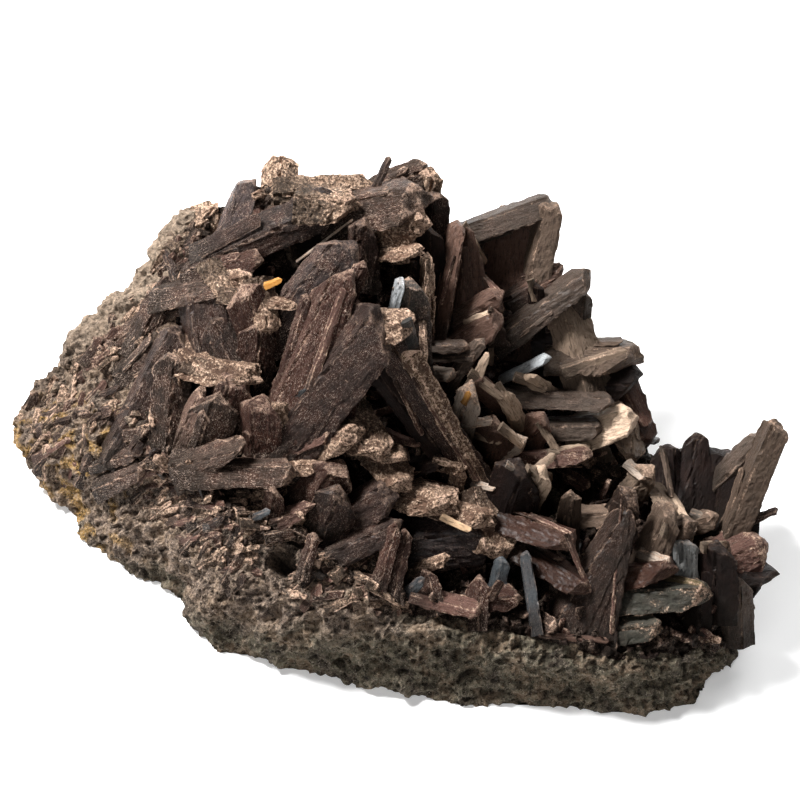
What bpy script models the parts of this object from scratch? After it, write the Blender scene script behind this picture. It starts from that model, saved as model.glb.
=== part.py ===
"""Axinite: blades of brown crystal grown over the sloping face of a lump of grainy rock.

Metres, +Z up. The origin is the middle of the specimen's box, on the surface it rests on.
The rock slopes down from a crest at the back left to a low rim at the front and right,
and the crystals cover that slope. Their places are given on a plane laid over the slope,
called the face: across it (+X), up it, and out of it, in millimetres. A place that stands
out of the face is the one seen behind those numbers by an eye in front of the face's middle.
"""

import math
from typing import NamedTuple

import bmesh
import bpy
from mathutils import Matrix, Vector, noise
from mathutils.bvhtree import BVHTree

MM = 0.001

# Driving dimensions, in millimetres and degrees
FACE_TILT = 40.0
FACE_HEIGHT = 25.0
EYE_DISTANCE = 400.0
BELOW_BASE = 4.0
ROCK_VOXEL = 1.5
ROCK_TRIANGLES = 2800
CRUST_THICKNESS = 3.0
CRUST_VOXEL = 2.0
CRUST_TRIANGLES = 480
PRISM_REACH = 45.0
GAP = 0.35
CENTRING = (2.05, 0.85)
ROOT = 4.0
STEM_WAIST = 0.6
SKEW = 0.25
END_THINNING = 0.8
END_LEAN = 25.0

# Corners of the rock's overlapping lumps, as (x, y, z) in millimetres
ROCK_LUMPS = {
    "back_massif": [
        (-53, 2, 0), (-41, 36, 0), (-18, 40, 0), (8, 38, 0), (24, 26, 0), (34, 12, 0), (30, -20, 0), (-20, -30, 0),
        (-45, 16, 18), (-43, 29, 26), (-35, 34, 34), (-27, 33, 38), (-19, 33, 42), (-8, 29, 42), (4, 27, 36),
        (18, 20, 22), (30, 14, 16), (28, 8, 12), (10, -10, 12), (-25, -15, 17), (-35, 0, 20),
    ],
    "left_wing": [
        (-59, 9, 3), (-53.5, 1.5, 4), (-50.5, -1.5, 0), (-52, -9, 0), (-41, -18, 0), (-30, 0, 0), (-52, 20, 0), (-44, 32, 2),
        (-65.5, 10.5, 8), (-59, 13.5, 11.5), (-52, 15, 12), (-45.5, 19.5, 18.5), (-43, 29, 26), (-46, 3, 15),
        (-36, -8, 18), (-30, 8, 22),
    ],
    "front_apron": [
        (-39.5, -15, 0), (-32, -24, 0), (-28.5, -30, 0), (-22, -33, 0), (-11, -36, 0), (5, -39, 0), (5, 0, 0),
        (-36, -20, 10), (-28, -27, 13), (-10, -33, 13), (6, -35, 11), (-33, -8, 18), (-20, -20, 18), (0, -20, 12),
    ],
    "right_shoulder": [
        (0, -38, 0), (16, -41, 0), (30, -42.5, 0), (45, -41, 0), (51, -32, 0), (54, -20, 0), (50, -4, 0),
        (40, 6, 0), (5, 10, 0), (6, -34, 11), (30, -39, 10), (45, -37, 9), (50, -30, 9), (52, -18, 7),
        (46, -4, 6), (37, 9, 11), (36, 6, 7), (10, 0, 12),
    ],
}
LUMP_NOISE = ((9.0, 2.2), (4.0, 1.1))
HOLLOW_DEPTH = 4.0
HOLLOW_MARGIN = 12.0
CALM_UNDER_CRYSTALS = 0.0
CALM_MARGIN = 5.0

# Outline of the crystals' crust on the face, as (across, up) in millimetres
DRUSE_OUTLINE = [
    (-44, -9), (-38, 6), (-37, 18), (-35, 27), (-27, 34), (-18, 38), (-2, 40), (10, 40), (26, 36), (36, 20),
    (46, 8), (52, 2), (62, -4), (60, -28), (52, -40), (34, -42), (20, -38), (0, -34), (-14, -27), (-30, -19),
]

class Blade(NamedTuple):
    """A crystal: where it leaves the crust and where it ends on the face, and its size.

    Width and thickness are at the foot. Roll turns the broad face about the crystal's
    length, from facing out; cut leans the end across the width; taper narrows the end.
    """
    name: str
    foot: tuple
    tip: tuple
    width: float
    thickness: float
    roll: float = 0.0
    cut: float = 0.0
    taper: float = 0.85


CREST_BLADES = [
    Blade("crest_knob", (-19, 31, -9), (-18.9, 38.2, -12), 4.6, 3.6, 20, 0, 0.75),
    Blade("crest_plate", (-27, 25, -9), (-24, 34.6, -10), 6, 5, -30, 10, 0.7),
    Blade("crest_step", (-33, 25, -14), (-28.8, 30.6, -14), 5, 4, 10, 0, 0.8),
    Blade("long_bar", (-30, 22.5, -8), (-9.5, 31, 0), 4.2, 4, 15, -15, 1.2),
    Blade("rim_band", (-17, 32.4, -8), (-4.5, 33, -8), 3.6, 3, 30, 0, 0.9),
    Blade("bar_crust", (-13.5, 30.8, -1), (-7, 30.8, 0), 5, 4.5, -10, 0, 0.85),
    Blade("knob_block", (-8, 29.5, -6), (3, 31.8, 0), 7.5, 7, -20, 0, 0.8),
    Blade("knob_lower", (-5, 28, -4), (3.4, 27, 1), 5, 5, 20, 0, 0.85),
    Blade("splinter", (-4.2, 32.5, -6), (-1.6, 38.3, -5), 1.1, 0.9, 0, 0, 0.8),
    Blade("top_bar", (-3.5, 32.6, -9), (4.2, 36, -8), 3.6, 3, 10, -25, 0.95),
    Blade("top_bar_crust", (3.4, 29, -10), (4.9, 36, -7), 2.8, 3, 20, 0, 0.8),
    Blade("back_block", (5, 23, -9), (5, 32.4, -6), 3.6, 3.4, 25, 15, 0.9),
    Blade("hollow_plate", (-6, 20, -2), (-5.8, 28.3, 3), 6, 2.4, -10, 15, 0.6),
]

UPPER_LEFT_BLADES = [
    Blade("tan_bar", (-31.5, 20.3, -7), (-22, 22.2, -2), 3, 3, -10, 10, 0.9),
    Blade("grey_cap", (-36, 16.5, -9), (-26.5, 18.6, -2), 4.5, 4, -25, -30, 0.85),
    Blade("cap_chip", (-28.6, 19.5, -3), (-25.4, 14.8, 0.5), 3.2, 3, 0, 0, 0.85),
    Blade("fan_plate_left", (-29.5, 5.5, -3), (-31.5, 17.2, -4.5), 7, 4, -15, -10, 0.9),
    Blade("fan_plate_right", (-25.5, 5.5, -1), (-29.5, 13, -2), 5, 3.5, 20, 0, 0.8),
    Blade("tan_wedge", (-21.5, 9, -1), (-25, 17.3, 2.5), 4.2, 4, 25, 20, 0.8),
    Blade("tan_ledge", (-25.5, 16.3, 0), (-16, 14.9, 2), 2.8, 2.4, -20, 0, 0.5),
    Blade("ledge_drop", (-21.8, 16.3, 1), (-20.6, 10.6, 2.5), 3, 2.6, 10, 0, 0.8),
    Blade("brown_root", (-23, 4, -1), (-22.3, 12, 1.5), 3.6, 3.4, 30, 0, 0.9),
    Blade("left_ridge_low", (-46.5, 8, -16), (-39, 13.5, -12), 2.6, 2.6, 0, 0, 0.8),
    Blade("left_ridge_high", (-41, 9, -12), (-37.5, 17, -11), 3, 3, 15, 0, 0.8),
    Blade("left_ridge_end", (-42.5, 5, -11), (-36.5, 9.5, -7), 3, 3, -10, 0, 0.8),
]

SLAB_BLADES = [
    Blade("slab_1", (-17.5, 11, -1), (-8, 24.8, 6.5), 8, 3.2, -8, 5, 0.85),
    Blade("slab_2", (-19.5, -7, 2.5), (-9, 20.3, 9.5), 7.5, 4, -12, 10, 0.72),
    Blade("slab_3", (-18, -7, 3), (-2.8, 12.6, 12), 8, 4.4, -5, -35, 0.9),
    Blade("slab_3_crust", (-3, 11.4, 10), (1.6, 11.8, 12), 5.2, 4, -10, 0, 0.7),
    Blade("slab_4", (14, -15, -1), (-2.3, 9, 10), 4.4, 3.4, 35, 0, 0.9),
    Blade("slab_4_rib", (6, -9, 0), (-2.8, 5, 6.5), 2.4, 1.8, 30, 0, 0.8),
    Blade("shelf", (-12, 10, 1), (-6.2, 14.6, 6), 3, 2.2, 0, 0, 0.9),
    Blade("arch_top", (-2.5, 23.2, -1), (3.2, 23.4, 4), 2.4, 3, -20, -20, 0.9),
    Blade("arch_side", (4.2, 12, -3), (4.2, 22.8, 2), 5, 1.8, -75, 0, 0.9),
    Blade("glassy_blade", (2.2, 4, -1), (1.6, 18.8, 7), 4.2, 3, 15, 0, 0.85),
]

BACK_RIGHT_BLADES = [
    Blade("leaf_plate", (5.5, 15, -5), (4.6, 27.2, -2), 4, 2.4, 15, -25, 0.7),
    Blade("long_wedge", (6.2, 12, -5), (8.8, 28.4, -4), 2.6, 4, -30, 0, 1.1),
    Blade("triangle_plate", (11.5, 11, -8), (10, 27.5, -6), 10, 2.6, 5, 0, 0.12),
    Blade("triangle_corner", (11, 13, -5), (16, 16.5, -2), 3.4, 2.6, 10, 0, 0.8),
    Blade("low_triangle", (9, 8.5, -5), (15.6, 12.8, -1), 4.5, 2.6, -10, -15, 0.85),
    Blade("grey_bar_high", (3.5, 8.5, -3), (11, 8.4, 0), 1.8, 2, -15, 0, 0.9),
    Blade("tan_shard", (11, 2.5, -4), (14, 8.8, 1), 2.2, 1.6, -10, 0, 0.4),
    Blade("big_plate_bar", (7, 24, -11), (24.4, 31, -14), 4.4, 3.4, -20, 15, 0.95),
    Blade("big_plate_face", (16, 9, -14), (17, 27, -16), 11, 3, 10, 0, 1.0),
    Blade("big_plate_wall", (18, 12, -16), (22, 30, -13.5), 3.8, 3, -15, 10, 0.9),
    Blade("brown_wedge", (19, 16.6, -13), (25.8, 21.2, -12), 3.6, 2.6, 0, -20, 0.35),
    Blade("grey_bar", (17, 10, -11), (28.2, 18.6, -8), 4, 3.4, -15, -15, 0.9),
    Blade("grey_bar_side", (27.8, 12, -11), (28.4, 17.6, -8.5), 2.4, 3, 30, 0, 0.9),
    Blade("tan_face", (30, 2, -11), (26.5, 15.5, -8), 6.5, 4, 30, 0, 0.75),
    Blade("blunt_block", (26, 6.6, -12), (37.6, 7, -10), 5.6, 7, -30, -10, 0.9),
    Blade("blunt_block_low", (27, 3.4, -12), (37.8, 3.6, -9.5), 3.6, 6, 10, 0, 0.9),
]

RIGHT_MIDDLE_BLADES = [
    Blade("white_blade", (14.5, 2.6, -12), (23.7, 6.9, -4), 1.8, 1.6, -30, 0, 0.9),
    Blade("small_tan_wedge", (23.2, 1.2, -8), (20, 3.8, -4), 2.4, 2, 0, 0, 0.5),
    Blade("level_bar_high", (17, 0.6, -8), (33.4, -0.4, -6), 3.4, 3.2, -25, 0, 0.9),
    Blade("level_bar_low", (18, -4.8, -8), (32, -4.4, -6), 3, 3, -10, 0, 0.9),
    Blade("lit_bar", (17, -9.6, -6), (29.8, -8.7, -3), 3.2, 3, -30, 0, 0.9),
    Blade("tan_mass", (29, -5, -12), (36.5, -2.5, -8.5), 6, 5, -20, 0, 0.9),
    Blade("tan_mass_low", (36, -1, -12), (36.3, -9.6, -7), 4, 3.6, 0, 0, 0.8),
    Blade("edge_mass", (34.6, 2.5, -13), (38.4, -7, -10), 3.6, 3.6, 20, 0, 0.9),
    Blade("pale_block", (8.5, -4, -4), (10.8, 1.6, 1.5), 3.8, 3, -10, 0, 0.8),
    Blade("ridge", (16.5, -1, -6), (11.5, 3, 1), 2.2, 2.4, 20, 0, 0.8),
    Blade("roof_block", (14.5, -9, -6), (14.8, -3.4, 1.5), 6.5, 4, 0, 0, 0.45),
    Blade("brown_facet", (20, -6.5, -8), (22.6, -2.6, -2.5), 3.2, 3, 20, 0, 0.8),
]

LEFT_BLADES = [
    Blade("sheaf_left", (-44.5, -8, -8), (-35, 11.3, -4.5), 4.6, 3.4, -15, 10, 0.85),
    Blade("sheaf_right", (-36.5, -6.5, -3), (-35.5, 7, -2), 4, 3.4, 25, 0, 0.85),
    Blade("rim_slope", (-36, 9.6, -6), (-30.5, 4.5, 0.5), 2.4, 3, 20, 0, 0.9),
    Blade("rim_level", (-35, 5.5, -4), (-26.2, 3.2, 2.5), 3.4, 3.4, -20, 0, 0.9),
    Blade("rim_cap", (-30.5, 5.5, -2), (-22.5, 3.8, 3.5), 4.2, 4, -30, 0, 0.9),
    Blade("rim_body", (-27.5, -2.5, 0), (-25.5, 3.6, 4), 5, 4.4, 0, 0, 0.9),
    Blade("yellow_face", (-34, -5.5, -1.5), (-31, 1.8, 2.5), 3.4, 3.2, -20, 0, 0.6),
    Blade("speckled_face", (-30.5, -6.5, 0), (-28.5, 1, 4.2), 5.5, 3.8, 10, 0, 0.9),
    Blade("brown_block", (-22, -9, 1), (-22.2, -0.2, 6), 5.8, 4.4, -10, -10, 0.85),
    Blade("brown_block_rim", (-16.8, -8.8, 2), (-19.6, -0.6, 6.5), 2.2, 3, 40, 0, 0.9),
    Blade("pointed_wedge", (-33, -10.5, 1.5), (-24.3, -6.8, 6.5), 5.4, 3.6, -5, 0, 0.12),
    Blade("left_chip_low", (-46, -13.5, -8), (-40.2, -10.6, -2), 3, 2.4, 0, 0, 0.7),
]

FRONT_LEFT_BLADES = [
    Blade("stub", (-9.2, -4.5, 0), (-7.8, 2, 6.5), 3, 3, -20, 0, 0.9),
    Blade("root_bar", (-17.5, -7.4, 3), (-10.5, -4.8, 7), 2.6, 2.6, -20, 0, 0.9),
    Blade("knob_a", (-12, -7, 2), (-7, -5.2, 8.5), 5, 5, -30, 0, 0.85),
    Blade("knob_b", (-7.5, -3.2, 3), (-3.6, -9, 8.5), 4, 4.4, 20, 0, 0.85),
    Blade("knob_tip", (-4.5, -7.5, 3), (0.6, -9.2, 7.5), 4, 3.6, -10, 0, 0.45),
    Blade("knob_link", (-2.6, -9.5, 3), (0.8, -13.8, 8), 3.6, 4, 0, 0, 0.85),
    Blade("dark_plate", (1, -11, -1), (6.4, -9.6, 4), 3.4, 2.2, -10, 0, 0.5),
    Blade("tan_crust_left", (0, -14.5, 2), (8.5, -16.6, 7.5), 5, 5.5, -25, 0, 0.9),
    Blade("tan_crust_middle", (8, -17, 3), (14.5, -19, 7.5), 4, 5, -25, 0, 0.9),
    Blade("tan_crust_right", (13.5, -17, 3.5), (15, -24.5, 7.5), 4.2, 5, 30, 0, 0.8),
    Blade("dark_face", (2, -23, 4.5), (14, -22, 6.5), 6.5, 3.4, 15, 0, 0.9),
    Blade("rounded_bar", (-31, -11.6, 2.5), (-16.5, -11.2, 7), 4.2, 3.6, -20, -20, 0.9),
    Blade("rounded_bar_end", (-22, -10, 2), (-13, -10.2, 6), 3, 3, -10, 0, 0.8),
    Blade("edge_block", (-14.5, -17, 3), (-9.5, -10.4, 8), 5, 4, 20, 25, 0.9),
    Blade("edge_block_low", (-12, -21, 5.5), (-9.3, -14.6, 10), 4.5, 4, 20, 0, 0.9),
    Blade("pink_wedge", (-19, -19, 5.5), (-13.8, -16.6, 8.5), 2.8, 2.4, -10, 0, 0.5),
    Blade("dark_blade", (-9, -19, 3), (-1.6, -14.4, 8.5), 5.5, 4, -20, 0, 0.9),
    Blade("striped_blade", (-10, -24.5, 7.5), (0, -19.5, 10), 3.4, 3, -10, 0, 0.9),
    Blade("spindle_left", (-3, -28.5, 10.5), (-0.6, -19.5, 11), 1.8, 1.8, 0, 0, 0.9),
    Blade("spindle_right", (-1, -30, 10.5), (1, -20.5, 10.5), 1.6, 1.6, 20, 0, 0.9),
]

FRONT_MIDDLE_BLADES = [
    Blade("hole_rim_low", (4, -31, 10), (12.8, -33.2, 11.5), 1.8, 3, -10, 0, 0.9),
    Blade("hole_rim_right", (12, -34, 10), (12.4, -27.5, 9), 2, 3, 0, 0, 0.9),
    Blade("hole_rim_left", (5, -32, 10), (3.8, -26.5, 9), 1.8, 3, 0, 0, 0.9),
    Blade("low_bar", (11.5, -31.5, 8), (19, -31, 10), 2.6, 3, -10, 0, 0.9),
    Blade("dark_block", (16.5, -19.5, 2), (19, -10.2, 9), 5.5, 4.5, 15, 10, 0.8),
    Blade("tan_facets", (20.5, -15, 3), (22.8, -11.2, 8.5), 3.2, 3, 10, 0, 0.7),
    Blade("brown_tongue", (16.5, -19, 4), (27.3, -22.6, 10), 4.6, 3.6, -30, -10, 0.85),
    Blade("round_tongue", (20.5, -24.5, 5), (29.8, -30, 11), 4, 4, -25, 0, 0.85),
    Blade("glass_plate", (20.6, -38, 13), (20.8, -24, 8.5), 3, 2.4, -60, 0, 0.9),
    Blade("lit_facet", (26.5, -21, 2), (27, -14.5, 5), 2.4, 2.2, 10, 0, 0.8),
    Blade("tan_stub", (28, -18.4, 1), (33.5, -18, 5), 2.6, 2.6, -10, 0, 0.85),
    Blade("big_triangle", (29.5, -38, 13), (36.4, -16, 8), 11, 3.6, -10, 0, 0.25),
    Blade("big_triangle_cap", (33.5, -20, 3), (36.6, -15, 10), 3.4, 3.4, 0, 0, 0.8),
]

FRONT_RIGHT_BLADES = [
    Blade("tan_top", (38.5, -27, 5), (42.5, -17, 10), 5, 4, -15, 0, 0.7),
    Blade("tan_top_side", (41, -22, 4), (46.2, -19.6, 9), 3.6, 3.6, -20, -20, 0.85),
    Blade("grey_glass", (44.5, -30, 7), (44.6, -21.8, 9), 3.2, 2.8, 0, 0, 0.95),
    Blade("lit_stub", (35.5, -27.8, 5), (43, -26.4, 11.5), 4.4, 4.4, -35, 0, 0.9),
    Blade("yellow_bar", (34, -31.2, 7), (48.3, -30.6, 12), 4.6, 4.2, -25, 0, 0.9),
    Blade("upright_block", (49.8, -36, 9), (49.8, -22.6, 10), 4.2, 4.4, -10, 0, 0.9),
    Blade("upright_side", (50.8, -36.5, 7), (51.4, -28.5, 9), 2.4, 3, 50, 0, 0.9),
    Blade("upright_panel", (47, -38, 11), (47.2, -29, 10.5), 2.4, 3, 0, 0, 0.9),
    Blade("horn", (50.4, -22, -1), (59, -5, 4), 4, 3.2, -20, 0, 0.95),
    Blade("horn_ridge", (51.5, -12, -5), (57.2, -5.8, 1), 3, 2.8, 0, 0, 0.6),
    Blade("wall_peak", (46, -18, -6), (46.6, -5, -8), 10, 3.4, 10, 0, 0.1),
    Blade("wall_middle", (49, -20, -6), (50.2, -8, -8), 8, 3.4, -10, 0, 0.9),
    Blade("wall_right", (53, -18, -4), (54.4, -7.4, -4), 5.6, 3.4, 0, 0, 0.8),
    Blade("wall_left", (42, -19, -5), (42, -7, -8), 3, 4, 50, 0, 0.9),
    Blade("right_splinter", (56, -18.6, 1), (59.6, -17.2, 3), 1, 1, 0, 0, 0.7),
    Blade("right_lump_high", (50, -26, 0), (57.4, -22, 3), 5.6, 5, 0, 0, 0.8),
    Blade("right_point", (50, -27.6, 0), (59.4, -27.4, 3.5), 7, 5, -20, 0, 0.2),
    Blade("right_lump_low", (50, -31, 1), (57, -29.2, 2), 5, 5, 0, 0, 0.7),
    Blade("pale_facet", (36.8, -14.4, -4), (39.5, -10.8, 1), 3.2, 2.8, 0, 0, 0.8),
]

BLADES = (
    CREST_BLADES + UPPER_LEFT_BLADES + SLAB_BLADES + BACK_RIGHT_BLADES + RIGHT_MIDDLE_BLADES
    + LEFT_BLADES + FRONT_LEFT_BLADES + FRONT_MIDDLE_BLADES + FRONT_RIGHT_BLADES
)

FACE_CENTRE = Vector((0.0, 0.0, FACE_HEIGHT * MM))
ACROSS = Vector((1.0, 0.0, 0.0))
UP = Vector((0.0, math.cos(math.radians(FACE_TILT)), math.sin(math.radians(FACE_TILT))))
OUT = Vector((0.0, -math.sin(math.radians(FACE_TILT)), math.cos(math.radians(FACE_TILT))))
EYE = FACE_CENTRE + OUT * EYE_DISTANCE * MM


def face_point(across, up, out):
    """The point that stands out of the face and is seen at (across, up) on it."""
    nearness = 1.0 - out / EYE_DISTANCE
    return FACE_CENTRE + (ACROSS * across * nearness + UP * up * nearness + OUT * out) * MM


def on_face(point):
    """Where a point is seen on the face, as (across, up) in millimetres."""
    offset = point - FACE_CENTRE
    nearness = 1.0 - offset.dot(OUT) / (EYE_DISTANCE * MM)
    return offset.dot(ACROSS) / nearness / MM, offset.dot(UP) / nearness / MM


def depth_inside(point, outline):
    """How far a place on the face lies inside an outline, in millimetres; less than 0 is outside."""
    x, y = point
    inside = False
    nearest = math.inf
    for (ax, ay), (bx, by) in zip(outline, outline[1:] + outline[:1]):
        if (ay > y) != (by > y) and x < ax + (y - ay) / (by - ay) * (bx - ax):
            inside = not inside
        edge = Vector((bx - ax, by - ay))
        along = max(0.0, min(1.0, Vector((x - ax, y - ay)).dot(edge) / edge.length_squared))
        nearest = min(nearest, math.hypot(ax + edge.x * along - x, ay + edge.y * along - y))
    return nearest if inside else -nearest


def new_collection(name):
    """A collection in the scene."""
    collection = bpy.data.collections.new(name)
    bpy.context.scene.collection.children.link(collection)
    return collection


def add_object(name, bm, collection):
    """An object made from a bmesh, which is freed."""
    mesh = bpy.data.meshes.new(name)
    bm.to_mesh(mesh)
    bm.free()
    obj = bpy.data.objects.new(name, mesh)
    collection.objects.link(obj)
    return obj


def add_hull(bm, points):
    """The convex hull of some points, added to a bmesh."""
    verts = [bm.verts.new(point) for point in points]
    result = bmesh.ops.convex_hull(bm, input=verts)
    spare = [item for item in result["geom_interior"] if isinstance(item, bmesh.types.BMVert)]
    bmesh.ops.delete(bm, geom=spare, context="VERTS")


def settle(obj):
    """Replaces an object's mesh by its shape with the modifiers applied."""
    depsgraph = bpy.context.evaluated_depsgraph_get()
    mesh = bpy.data.meshes.new_from_object(obj.evaluated_get(depsgraph))
    obj.modifiers.clear()
    obj.data = mesh


def paint(obj, name, colour, roughness):
    """Gives an object a plain material of its own."""
    material = bpy.data.materials.new(name)
    material.use_nodes = True
    shader = material.node_tree.nodes["Principled BSDF"]
    shader.inputs["Base Color"].default_value = (*colour, 1.0)
    shader.inputs["Roughness"].default_value = roughness
    shader.inputs["Metallic"].default_value = 0.0
    material.diffuse_color = (*colour, 1.0)
    obj.data.materials.clear()
    obj.data.materials.append(material)


def matrix_rock(collection):
    """The lump of rock: overlapping hulls melted together, roughened, and cut flat below."""
    bm = bmesh.new()
    for corners in ROCK_LUMPS.values():
        points = [Vector(corner) * MM for corner in corners]
        footing = [point - Vector((0.0, 0.0, BELOW_BASE * MM)) for point in points if point.z < MM]
        add_hull(bm, points + footing)
    rock = add_object("matrix", bm, collection)
    melt = rock.modifiers.new("melt", "REMESH")
    melt.mode = "VOXEL"
    melt.voxel_size = ROCK_VOXEL * MM
    settle(rock)
    roughen(rock.data)
    thin = rock.modifiers.new("thin", "DECIMATE")
    thin.ratio = ROCK_TRIANGLES / (2 * len(rock.data.polygons))
    settle(rock)
    cut_flat(rock.data)
    paint(rock, "grainy_rock", (0.17, 0.14, 0.11), 0.9)
    return rock


def roughen(mesh):
    """Lumps and pits on the rock's open sides, fading out under the crystals."""
    bm = bmesh.new()
    bm.from_mesh(mesh)
    bm.normal_update()
    for vert in bm.verts:
        inside = depth_inside(on_face(vert.co), DRUSE_OUTLINE) if vert.normal.dot(OUT) > 0.0 else 0.0
        calm = min(1.0, max(0.0, inside / CALM_MARGIN))
        strength = 1.0 + (CALM_UNDER_CRYSTALS - 1.0) * calm
        height = sum(noise.noise(vert.co / (size * MM)) * rise for size, rise in LUMP_NOISE)
        hollow = HOLLOW_DEPTH * min(1.0, max(0.0, inside / HOLLOW_MARGIN))
        vert.co += vert.normal * height * strength * MM - OUT * hollow * MM
    bm.to_mesh(mesh)
    bm.free()


def cut_flat(mesh):
    """Cuts off what lies below the base, and closes the cut with one flat face."""
    bm = bmesh.new()
    bm.from_mesh(mesh)
    everything = bm.verts[:] + bm.edges[:] + bm.faces[:]
    cut = bmesh.ops.bisect_plane(bm, geom=everything, plane_co=(0, 0, 0), plane_no=(0, 0, 1), clear_inner=True)
    rim = [item for item in cut["geom_cut"] if isinstance(item, bmesh.types.BMEdge)]
    bmesh.ops.contextual_create(bm, geom=rim)
    bmesh.ops.recalc_face_normals(bm, faces=bm.faces[:])
    bm.to_mesh(mesh)
    bm.free()


def blade_solid(blade):
    """A crystal's bmesh: a leaning box with a wedge-shaped end, rooted below its foot."""
    foot = face_point(*blade.foot)
    tip = face_point(*blade.tip)
    along = (tip - foot).normalized()
    broad = (OUT - along * OUT.dot(along)).normalized()
    broad.rotate(Matrix.Rotation(math.radians(blade.roll), 3, along))
    across = along.cross(broad)
    root = foot - along * ROOT * MM
    length = (tip - root).length
    bm = bmesh.new()
    bmesh.ops.create_cube(bm, size=2.0)
    for vert in bm.verts:
        side, face, end = vert.co
        at_tip = end > 0.0
        half_width = 0.5 * blade.width * (blade.taper if at_tip else 1.0)
        x = side * half_width + face * SKEW * blade.thickness
        y = face * 0.5 * blade.thickness * (END_THINNING if at_tip else 1.0)
        lean = math.tan(math.radians(blade.cut)) * x - math.tan(math.radians(END_LEAN)) * y
        z = length / MM + lean if at_tip else 0.0
        vert.co = root + (across * x + broad * y + along * z) * MM
    bmesh.ops.reverse_faces(bm, faces=bm.faces[:])
    return bm


def stem_solid(blade, rock_tree):
    """A stem from a crystal's foot down into the rock."""
    foot = face_point(*blade.foot)
    ground, _, _, distance = rock_tree.find_nearest(foot)
    down = (ground - foot).normalized()
    length = distance + MM
    radius = STEM_WAIST * min(blade.width, blade.thickness) * MM
    bm = bmesh.new()
    place = Matrix.Translation(foot + down * 0.5 * length) @ down.to_track_quat("Z", "Y").to_matrix().to_4x4()
    bmesh.ops.create_cone(bm, cap_ends=True, segments=4, radius1=radius, radius2=radius, depth=length, matrix=place)
    return bm


def add_crystals(solids, crust, rock):
    """The crystals, with a stem under each one that neither the crust nor a neighbour holds."""
    depsgraph = bpy.context.evaluated_depsgraph_get()
    rock_tree = BVHTree.FromObject(rock, depsgraph)
    holding = [BVHTree.FromObject(crust, depsgraph)]
    hanging = {}
    for blade in BLADES:
        bm = blade_solid(blade)
        hanging[blade] = BVHTree.FromBMesh(bm)
        add_object(blade.name, bm, solids)
    while hanging:
        held = [blade for blade, tree in hanging.items() if any(tree.overlap(other) for other in holding)]
        if not held:
            held = [next(iter(hanging))]
            add_object(f"{held[0].name}_stem", stem_solid(held[0], rock_tree), solids)
        holding += [hanging.pop(blade) for blade in held]


def crystal_cluster(parts, cutters, rock):
    """The crystals and the crust that they rise from, joined in one solid over the rock."""
    crust = crust_solid(cutters, rock)
    solids = new_collection("blades")
    add_crystals(solids, crust, rock)
    cluster = add_object("crystal_cluster", bmesh.new(), parts)
    cluster.data = crust.data.copy()
    join = cluster.modifiers.new("join", "BOOLEAN")
    join.operation = "UNION"
    join.operand_type = "COLLECTION"
    join.collection = solids
    join.solver = "MANIFOLD"
    seat = cluster.modifiers.new("seat", "BOOLEAN")
    seat.operation = "DIFFERENCE"
    seat.object = grown_rock(cutters, rock, GAP)
    seat.solver = "MANIFOLD"
    settle(cluster)
    keep_largest_shell(cluster.data)
    for guide in solids.objects:
        hide_guide(guide)
    paint(cluster, "axinite_brown", (0.075, 0.045, 0.04), 0.35)
    return cluster


def keep_largest_shell(mesh):
    """Keeps the largest shell of a mesh, and drops slivers that hang on it by one edge."""
    bm = bmesh.new()
    bm.from_mesh(mesh)
    bmesh.ops.triangulate(bm, faces=bm.faces[:])
    shells = []
    unseen = set(bm.faces)
    while unseen:
        front = [unseen.pop()]
        shell = list(front)
        while front:
            sides = [edge for edge in front.pop().edges if len(edge.link_faces) == 2]
            near = {face for edge in sides for face in edge.link_faces} & unseen
            unseen -= near
            front.extend(near)
            shell.extend(near)
        shells.append(shell)
    shells.sort(key=len)
    for shell in shells[:-1]:
        bmesh.ops.delete(bm, geom=shell, context="FACES")
    bm.to_mesh(mesh)
    bm.free()


def hide_guide(obj):
    """Marks a cutter, which isn't part of the specimen."""
    obj.hide_render = True
    obj.display_type = "WIRE"


def grown_rock(cutters, rock, growth):
    """The rock's form, thicker all over."""
    grown = bpy.data.objects.new("grown_rock", rock.data.copy())
    cutters.objects.link(grown)
    swell = grown.modifiers.new("swell", "DISPLACE")
    swell.mid_level = 0.0
    swell.strength = growth * MM
    settle(grown)
    hide_guide(grown)
    return grown


def crust_solid(cutters, rock):
    """The lumpy bed of massive crystal: the rock's form moved out, within the crystals' outline."""
    crust = bpy.data.objects.new("crust", rock.data.copy())
    crust.data.transform(Matrix.Translation(OUT * CRUST_THICKNESS * MM))
    cutters.objects.link(crust)
    melt = crust.modifiers.new("melt", "REMESH")
    melt.mode = "VOXEL"
    melt.voxel_size = CRUST_VOXEL * MM
    settle(crust)
    thin = crust.modifiers.new("thin", "DECIMATE")
    thin.ratio = CRUST_TRIANGLES / (2 * len(crust.data.polygons))
    trim = crust.modifiers.new("trim", "BOOLEAN")
    trim.operation = "INTERSECT"
    trim.object = druse_prism(cutters)
    settle(crust)
    hide_guide(crust)
    return crust


def druse_prism(cutters):
    """The crystals' outline, carried through the specimen along the eye's lines of sight."""
    bm = bmesh.new()
    base = bm.faces.new([bm.verts.new(face_point(*place, -PRISM_REACH)) for place in DRUSE_OUTLINE])
    raised = bmesh.ops.extrude_face_region(bm, geom=[base])
    tops = [item for item in raised["geom"] if isinstance(item, bmesh.types.BMVert)]
    for vert in tops:
        vert.co = face_point(*on_face(vert.co), PRISM_REACH)
    bmesh.ops.recalc_face_normals(bm, faces=bm.faces[:])
    prism = add_object("druse_prism", bm, cutters)
    hide_guide(prism)
    return prism


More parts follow.
